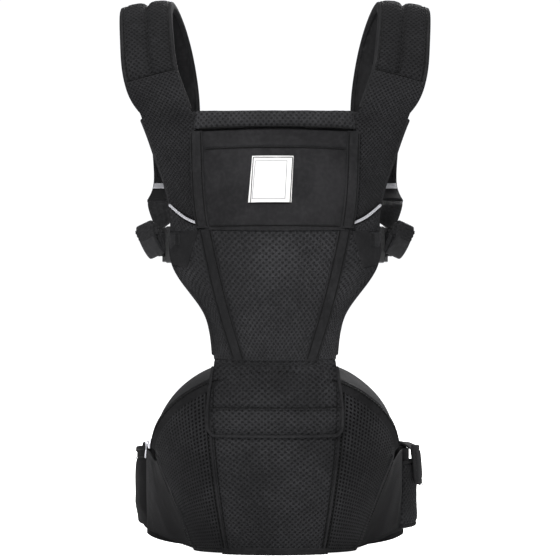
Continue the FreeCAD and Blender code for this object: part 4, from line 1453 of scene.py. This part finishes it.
def build_panel_edge():
    """Binding around the free edge of the panel."""
    for sign, side in SIDES:
        z = np.concatenate([np.linspace(214, 300, 68), np.linspace(300, 459, 110)[1:]])
        path = panel_at(panel_edge(z) - 0.4, z) * [sign, 1, 1]
        _, out = panel_line(panel_edge(z) - 0.4, z, 0)
        out = out * [sign, 1, 1]
        path = path + out * 3.9
        bind_edge("panel_binding_" + side, path, out, 2.0, 4.1, 3.2, 14,
                  np.linspace(0, 280, len(path)))


def build_fold():
    """Cloth strip that joins the seat to the panel; it is not attached to a body."""
    def surface(s, t):
        x = (2 * s - 1) * 62.5
        knots = [on_seat(x, 197.0) + vec(0, -1.6, 0), on_seat(x, 202.0) + vec(0, -3.6, 0),
                 panel_at(x, 208.0) + vec(0, -3.4, 0), panel_at(x, 213.0) + vec(0, -2.6, 0),
                 panel_at(x, 221.0) + vec(0, 0.4, 0)]
        at = np.array([0.0, 0.21, 0.46, 0.67, 1.0])
        weights = [curve(*[(at[j], float(j == k)) for j in range(5)])(t) for k in range(5)]
        return sum(w[..., None] * q for w, q in zip(weights, knots))
    p = grid(spread(80, 120, 0.8), spread(26, 26, 0.8), surface)
    obj = cloth("fold_strip", p, FORWARD, 1.4, MESH, None, (), 0.7)
    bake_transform(obj)


# ---- shoulder straps ----------------------------------------------------------------------------
STRAP_PATH = ((113, -71, 465), (128, -66, 498), (135, -46, 542), (136, -4, 579), (124, 42, 556),
              (114, 76, 508), (110, 87, 464), (112, 87, 424), (117, 68, 395), (126, 30, 375))
strap_half = curve((0, 28), (0.1, 28.5), (0.2, 28), (0.55, 28), (0.78, 24), (0.9, 15), (1, 12.5))
strap_thick = curve((0, 7), (0.12, 12), (0.25, 16), (0.6, 15), (0.85, 11), (1, 6))
BASE_END, PAD_END = 0.095, 0.89
strap_centre = spline(STRAP_PATH, 1201)
strap_ahead = unit(np.gradient(strap_centre, axis=0))


def at_share(values, share):
    x = np.linspace(0, 1, len(values))
    return np.stack([np.interp(share, x, values[:, k]) for k in range(3)], -1)


def strap_frame(share):
    share = np.asarray(share, float)
    ahead = unit(at_share(strap_ahead, share))
    hint = np.array([1.0, 0, -0.12])
    side = unit(hint - ahead * (ahead * hint).sum(-1, keepdims=True))
    turn = np.minimum(1.0, share / BASE_END)[..., None]
    side = unit(np.array([1, 0.29, 0]) * (1 - turn) + side * turn)
    return at_share(strap_centre, share), side, unit(np.cross(side, ahead))


def strap_grid(first, last, count, sign, squeeze):
    """Inner face, outward directions and thickness of a stretch of strap."""
    share = first + (last - first) * spread(count, 700 * (last - first), 1.6)
    across = 2 * spread(26, 56, 1.6) - 1
    centre, side, out = strap_frame(share)
    wide = (strap_half(share) - 0.8)[:, None] * across
    thick = strap_thick(share)[:, None] * crowned(across) * squeeze
    p = centre[:, None] + side[:, None] * wide[..., None]
    p = (p - out[:, None] * (thick / 2)[..., None]) * [sign, 1, 1]
    return p, np.broadcast_to(out[:, None] * [sign, 1, 1], p.shape), thick


def strap_sheet(name, first, last, count, sign, material, cad, seed):
    """A thin stretch of strap, sewn flat: no stuffing, so nothing to simulate."""
    p, outward, thick = strap_grid(first, last, count, sign, 0.92)
    s, t = cloth_uv(p)
    points, faces, uv = slab(p, outward, thick, 2.6, 0.7 * creases(s, t, 30, seed),
                             -0.3 * creases(s, t, 30, seed + 1))
    piece(name, points, faces, material, "carrier_panel", cad, uv)


def shoulder_pad(name, sign):
    """The stuffed stretch of a strap."""
    p, outward, thick = strap_grid(BASE_END - 0.004, PAD_END + 0.004, 150, sign, 0.84)
    points, faces, _ = slab(p, outward, thick, 2.2)
    obj = piece(name, points, faces, PAD_MESH, None, (name,))
    middle = p + outward * (thick / 2)[..., None]
    soften(obj, on_grid(middle, outward), channels, 3.6, 4.0, 1.6, LINING)
    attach(obj, "carrier_panel")
    return obj


def strap_line(share, across, depth, sign):
    """Points and outward directions along a strap; depth is from the middle of its thickness."""
    centre, side, out = strap_frame(share)
    path = centre + side * (strap_half(share) * across)[..., None] \
        + out * np.broadcast_to(depth, share.shape)[..., None]
    return path * [sign, 1, 1], out * [sign, 1, 1]


def channels(u, v, side):
    """Two stuffed channels with a sewn groove between them and a pressed edge."""
    middle, hem = 26.4, 4.5
    groove = 2.4 * bell(v - middle, 6.0) + 3.2 * bell(v - middle, 1.9)
    edge = 0.9 * bell(v - hem, 1.3) + 0.9 * bell(v - 2 * middle + hem, 1.3)
    puckers = 0.35 * np.sin(u * 0.9) * bell(v - middle, 7.0)
    front = (side > 0) * 1.0
    return front * (1.1 - groove - 0.3 * dimples(u, v, 5.2, 5.6)) - edge + puckers \
        + 0.4 * creases(u, v, 46, 111)


def build_straps():
    for sign, side in SIDES:
        strap_sheet("strap_base_" + side, 0.0, BASE_END + 0.012, 40, sign, KNIT,
                    once(sign, "strap_base"), 121)
        pad = shoulder_pad("shoulder_pad_" + side, sign)
        strap_sheet("strap_end_" + side, PAD_END - 0.012, 0.998, 40, sign, SHELL,
                    once(sign, "strap_end"), 125)
        bind_strap(sign, side, pad)
        reflector(sign, side)


def crowned(across):
    """Share of a strap's full thickness, which falls off towards both edges."""
    return 1 - 0.3 * across ** 2


def sew_across(sign, share, across, face, lift, *thread):
    """Stitches across a strap, on its outer face (1) or its inner one (-1)."""
    share = np.full(len(across), share)
    centre, side, out = strap_frame(share)
    out = out * face
    row = centre + side * (strap_half(share) * across)[:, None] \
        + out * (strap_thick(share) / 2 * crowned(across) + lift)[:, None]
    stitch("carrier_panel", row * [sign, 1, 1], out * [sign, 1, 1], *thread)


def bind_strap(sign, side, pad):
    share = np.linspace(0.012, 0.992, 330)
    for across, name in ((-1, "inner"), (1, "outer")):
        path, out = strap_line(share, across * (1 - 2.0 / strap_half(share)), 0.0, sign)
        thick = strap_thick(share) * 0.7 * 0.5
        bind_edge(f"strap_binding_{name}_{side}", path, out, 2.6, thick * 0.72 + 0.9, 2.4, 12,
                  travel(path))
    for across in (-1, 1):
        row, out = strap_line(share, across * (1 - 4.6 / strap_half(share)),
                              strap_thick(share) * 0.34, sign)
        stitch("carrier_panel", settle(pad, row, out), out)
    share = np.linspace(BASE_END + 0.008, PAD_END - 0.004, 150)
    row, out = strap_line(share, 0.0 * share, strap_thick(share) * 0.3, sign)
    stitch("carrier_panel", settle(pad, row, out), out, lift=0.3)
    # diagonal seam where the pad is sewn to its base, as two rows
    for shift in (-0.006, 0.006):
        sew_across(sign, BASE_END + shift, np.linspace(-0.9, 0.9, 40), 1, 0.3)
    # bar tacks on the inner face behind the shoulder
    for s in (0.555, 0.585):
        for step in (-0.0016, 0.0, 0.0016):
            sew_across(sign, s + step, np.linspace(-0.62, 0.62, 30), -1, 0.25, 2.2, 0.4)


def reflector(sign, side):
    s, a = np.meshgrid(0.912 + 0.024 * spread(6, 13, 0.6), 2 * spread(14, 26, 0.6) - 1,
                       indexing="ij")
    centre, across, out = strap_frame(s)
    depth = strap_thick(s) / 2 + 0.2
    p = (centre + across * (strap_half(s) * 0.9 * a)[..., None] - out * depth[..., None])
    p = p * [sign, 1, 1]
    cloth("strap_reflector_" + side, p, -out.mean((0, 1)) * [sign, 1, 1], 0.9, SILVER,
          "carrier_panel", once(sign, "strap_reflector"), 0.4, None, 0.1)


# ---- webbing ------------------------------------------------------------------------------------
SIDE_WEB, CHEST_WEB, WEB_THICK = 24.4, 19.6, 1.5
SIDE_MOUTH = np.array([112.0, -18.0, SIDE_Z])
SIDE_INTO = np.array([-0.35, -0.9367, 0.0])
SIDE_OUT = np.array([0.9367, -0.35, 0.0])


def side_at(x, z, y=0.0):
    """A point in the side buckle's own axes: x along its plug, z outwards, y downwards."""
    x, y, z = np.broadcast_arrays(np.asarray(x, float), y, z)
    return SIDE_MOUTH + x[..., None] * SIDE_INTO + z[..., None] * SIDE_OUT \
        + y[..., None] * np.array([0, 0, -1.0])


def ribbon(name, path, across, out, wide, thick, material, body, cad=()):
    """Flat webbing along a path with its own directions across and outwards at each point."""
    a = np.linspace(0, 2 * math.pi, 20, endpoint=False)
    ca, sa = squared(a, 0.35, 0.6)
    rings = path[:, None] + across[:, None] * (wide / 2 * ca)[:, None] \
        + out[:, None] * (thick / 2 * sa)[:, None]
    points, faces = loft(rings)
    d = travel(path)
    uv = np.stack(np.broadcast_arrays((wide / 2 * ca)[None], d[:, None]), -1).reshape(-1, 2)
    uv = np.concatenate([uv, [[0, 0]], [[0, d[-1]]]])
    return piece(name, points, faces, material, body, cad, uv=uv)


def build_webbing():
    for sign, side in SIDES:
        flipped = np.array([sign, 1, 1])
        plan = [(99.5, -69.8), (103.4, -65.6), (107.0, -61.6), (109.9, -57.4), (110.3, -51.5),
                (109.3, -46.0), (107.2, -42.8), (103.9, -41.2)]
        path = spline([(x, y, SIDE_Z) for x, y in plan], 60)
        _, _, out = path_frames(path, SIDE_OUT)
        up = np.broadcast_to([0, 0, 1.0], path.shape)
        ribbon("side_anchor_" + side, path * flipped, up, out * flipped, 24.6, WEB_THICK, WEBBING,
               "carrier_panel", once(sign, "side_anchor"))
        for shift in (4, 9):
            row = path[shift] + np.linspace(-11, 11, 14)[:, None] * [0, 0, 1.0] + out[shift] * 0.8
            stitch("carrier_panel", row * flipped, out[shift] * flipped, 2.4)
        side_tail(sign, side)
        roll(sign, side)
    chest_webs()


def side_tail(sign, side):
    """Webbing from the strap's end to the plug's ladder, turning a quarter on its way."""
    centre, across, out = (v[0] for v in strap_frame(np.array([0.99])))
    ahead = np.cross(out, across)
    knots = [centre, centre + ahead * 9 + [-2, 0, 0], centre + ahead * 20 + [-7, 0, -6],
             side_at(-27, 6.0) + [-6, 0, 9], side_at(-19, 6.0), side_at(-14, 5.7), side_at(-9, 5.3),
             side_at(-6.2, 2.0)]
    path = spline(knots, 90)
    tangent = unit(np.gradient(path, axis=0))
    turn = smooth(np.linspace(0, 1, 90), 0.12, 0.66)[:, None]
    side_dir = unit(across * (1 - turn) + np.array([0, 0, -1.0]) * turn)
    side_dir = unit(side_dir - tangent * (side_dir * tangent).sum(1, keepdims=True))
    up = np.cross(side_dir, tangent)
    flipped = np.array([sign, 1, 1])
    obj = ribbon("strap_tail_" + side, path * flipped, side_dir * flipped, up * flipped, SIDE_WEB,
                 WEB_THICK, WEBBING, None, once(sign, "strap_tail"))
    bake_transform(obj)


def roll(sign, side):
    """Spare webbing folded into a flat bundle and held by a gathered elastic keeper."""
    centre = side_at(-4, 19.7, -5)
    axis = unit(np.array([0.4, 0, 0.917]))
    normal = np.array([0.75, -0.66, 0])
    normal = unit(normal - axis * normal.dot(axis))
    wide = np.cross(axis, normal)
    a = np.linspace(0, 2 * math.pi * 3.6, 260)
    radius = 1.2 + 4.4 * a / a[-1]
    path = centre + normal * (radius * np.cos(a))[:, None] \
        + axis * ((13.5 + radius) * np.sin(a))[:, None] + wide * (0.6 * np.sin(a * 0.31))[:, None]
    flipped = np.array([sign, 1, 1])
    tangent = unit(np.gradient(path, axis=0))
    across = np.broadcast_to(wide, path.shape)
    ribbon("webbing_roll_" + side, path * flipped, across * flipped,
           np.cross(across, tangent) * flipped, SIDE_WEB, 1.3, WEBBING, "carrier_panel",
           once(sign, "webbing_roll"))
    rings = []
    b = np.linspace(0, 2 * math.pi, 72, endpoint=False)
    ca, sa = squared(b, 0.6, 0.6)
    for along in np.linspace(-6.5, 6.5, 26):
        gather = 0.45 * np.sin(b * 13 + along * 0.5) + 0.25 * np.cos(along * 1.7)
        end = 1.0 if abs(along) < 6.4 else 0.9
        rings.append(centre + axis * (9.0 + along) + normal * ((6.8 + gather) * ca * end)[:, None]
                     + wide * ((13.4 + gather) * sa * end)[:, None])
    rings = np.array(rings) * flipped
    points, faces = loft(rings)
    uv = np.broadcast_arrays(np.linspace(0, 66, 72)[None], np.linspace(0, 13, 26)[:, None])
    uv = np.stack(uv, -1).reshape(-1, 2)
    piece("roll_keeper_" + side, points, faces, BAND, "carrier_panel",
          uv=np.concatenate([uv, [[0, 0]], [[0, 13]]]))


def chest_webs():
    for sign, name in SIDES:
        x = np.linspace(104.5 * sign, 15.0 * sign, 70)
        sag = 1.2 * np.sin(math.pi * (x - x[0]) / (x[-1] - x[0]))
        path = vec(x, 105.2 + 0.4 * np.sin(x / 17.0), CHEST_Z - sag)
        out = np.broadcast_to([0, 1.0, 0], path.shape)
        up = np.broadcast_to([0, 0, 1.0], path.shape)
        body = None if sign > 0 else "chest_strap"
        obj = ribbon("chest_webbing_" + name, path, up, out, CHEST_WEB, WEB_THICK, WEBBING, body,
                     once(sign, "chest_webbing"))
        if sign > 0:
            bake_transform(obj)
        tail_x = 100.0 * sign
        box = [(tail_x, -7), (tail_x, 7), (tail_x - 12 * sign, 7), (tail_x - 12 * sign, -7),
               (tail_x, -7), (tail_x - 12 * sign, 7)]
        for (xa, za), (xb, zb) in zip(box, box[1:]):
            line = np.linspace((xa, 106.3, CHEST_Z + za), (xb, 106.3, CHEST_Z + zb), 14)
            stitch("chest_strap", line, [0, 1, 0], 2.6)


# ---- everything together ------------------------------------------------------------------------
PLASTIC_NODES = [node for node, slot in SLOTS.items() if slot == "buckle_plastic"]


def build_threads():
    # the seam lines are painted shadow lines in the seam grooves
    for title, material, kept in (("stitches_", THREAD, threads), ("seam_shadow_lines_", SEAM_SHADOW, seams)):
        for body, parts in kept.items():
            points, faces = merge(parts)
            piece(title + body, points, faces, material, body)


def build_studio():
    """Pale floor, soft lights from both sides and above, and the camera."""
    steps = np.linspace(-FLOOR_HALF, FLOOR_HALF, FLOOR_POINTS)
    x, y = np.meshgrid(steps, steps, indexing="ij")
    floor = piece("studio_floor", vec(x, y, 0.0), quads(FLOOR_POINTS, FLOOR_POINTS),
                  floor_material("studio_paper"), None)

    scene = bpy.context.scene
    world = bpy.data.worlds.new("studio_world")
    world.use_nodes = True
    scene.world = world
    tree = world.node_tree
    seen = tree.nodes.new("ShaderNodeLightPath")
    strength = tree.nodes.new("ShaderNodeMapRange")
    tree.links.new(seen.outputs["Is Camera Ray"], strength.inputs["Value"])
    strength.inputs["To Min"].default_value = WORLD_LIGHT
    strength.inputs["To Max"].default_value = WORLD_SEEN
    background = tree.nodes["Background"]
    tree.links.new(strength.outputs[0], background.inputs[1])
    background.inputs[0].default_value = (0.98, 0.985, 1.0, 1)
    for name, place, target, size, power in LIGHTS:
        data = bpy.data.lights.new(name, "AREA")
        data.shape = "DISK"
        data.size = size
        data.energy = power
        lamp = bpy.data.objects.new(name, data)
        lamp.location = place
        lamp.rotation_euler = (Vector(target) - Vector(place)).to_track_quat("-Z", "Y").to_euler()
        scene.collection.objects.link(lamp)
    camera = bpy.data.objects.new("camera", bpy.data.cameras.new("camera"))
    camera.data.lens = LENS
    camera.data.sensor_width = SENSOR
    camera.location = CAMERA
    camera.rotation_euler = (math.pi / 2, 0, 0)
    scene.collection.objects.link(camera)
    scene.camera = camera
    scene.view_settings.view_transform = "Standard"


FLOOR_HALF, FLOOR_POINTS = 15000.0, 31
WORLD_LIGHT, WORLD_SEEN = 0.18, 1.05
LIGHTS = (
    ("key", (-0.45, -2.9, 1.7), (0, 0, 0.3), 0.6, 160.0),
    ("fill", (0.8, -3.0, 0.4), (0, 0, 0.3), 1.2, 32.0),
    ("top", (0.1, -0.2, 2.4), (0, 0, 0.4), 1.0, 60.0),
    ("back", (0.6, 2.1, 1.6), (0, 0, 0.4), 1.0, 60.0),
)
CAMERA, LENS, SENSOR = (0.00525, -3.5, 0.2905), 210.6, 36.0

build_seat()
build_flap()
build_belt()
build_panel()
build_straps()
build_webbing()
build_threads()
for plastic_node in PLASTIC_NODES:
    paint(plastic_node, PLASTIC)
build_studio()
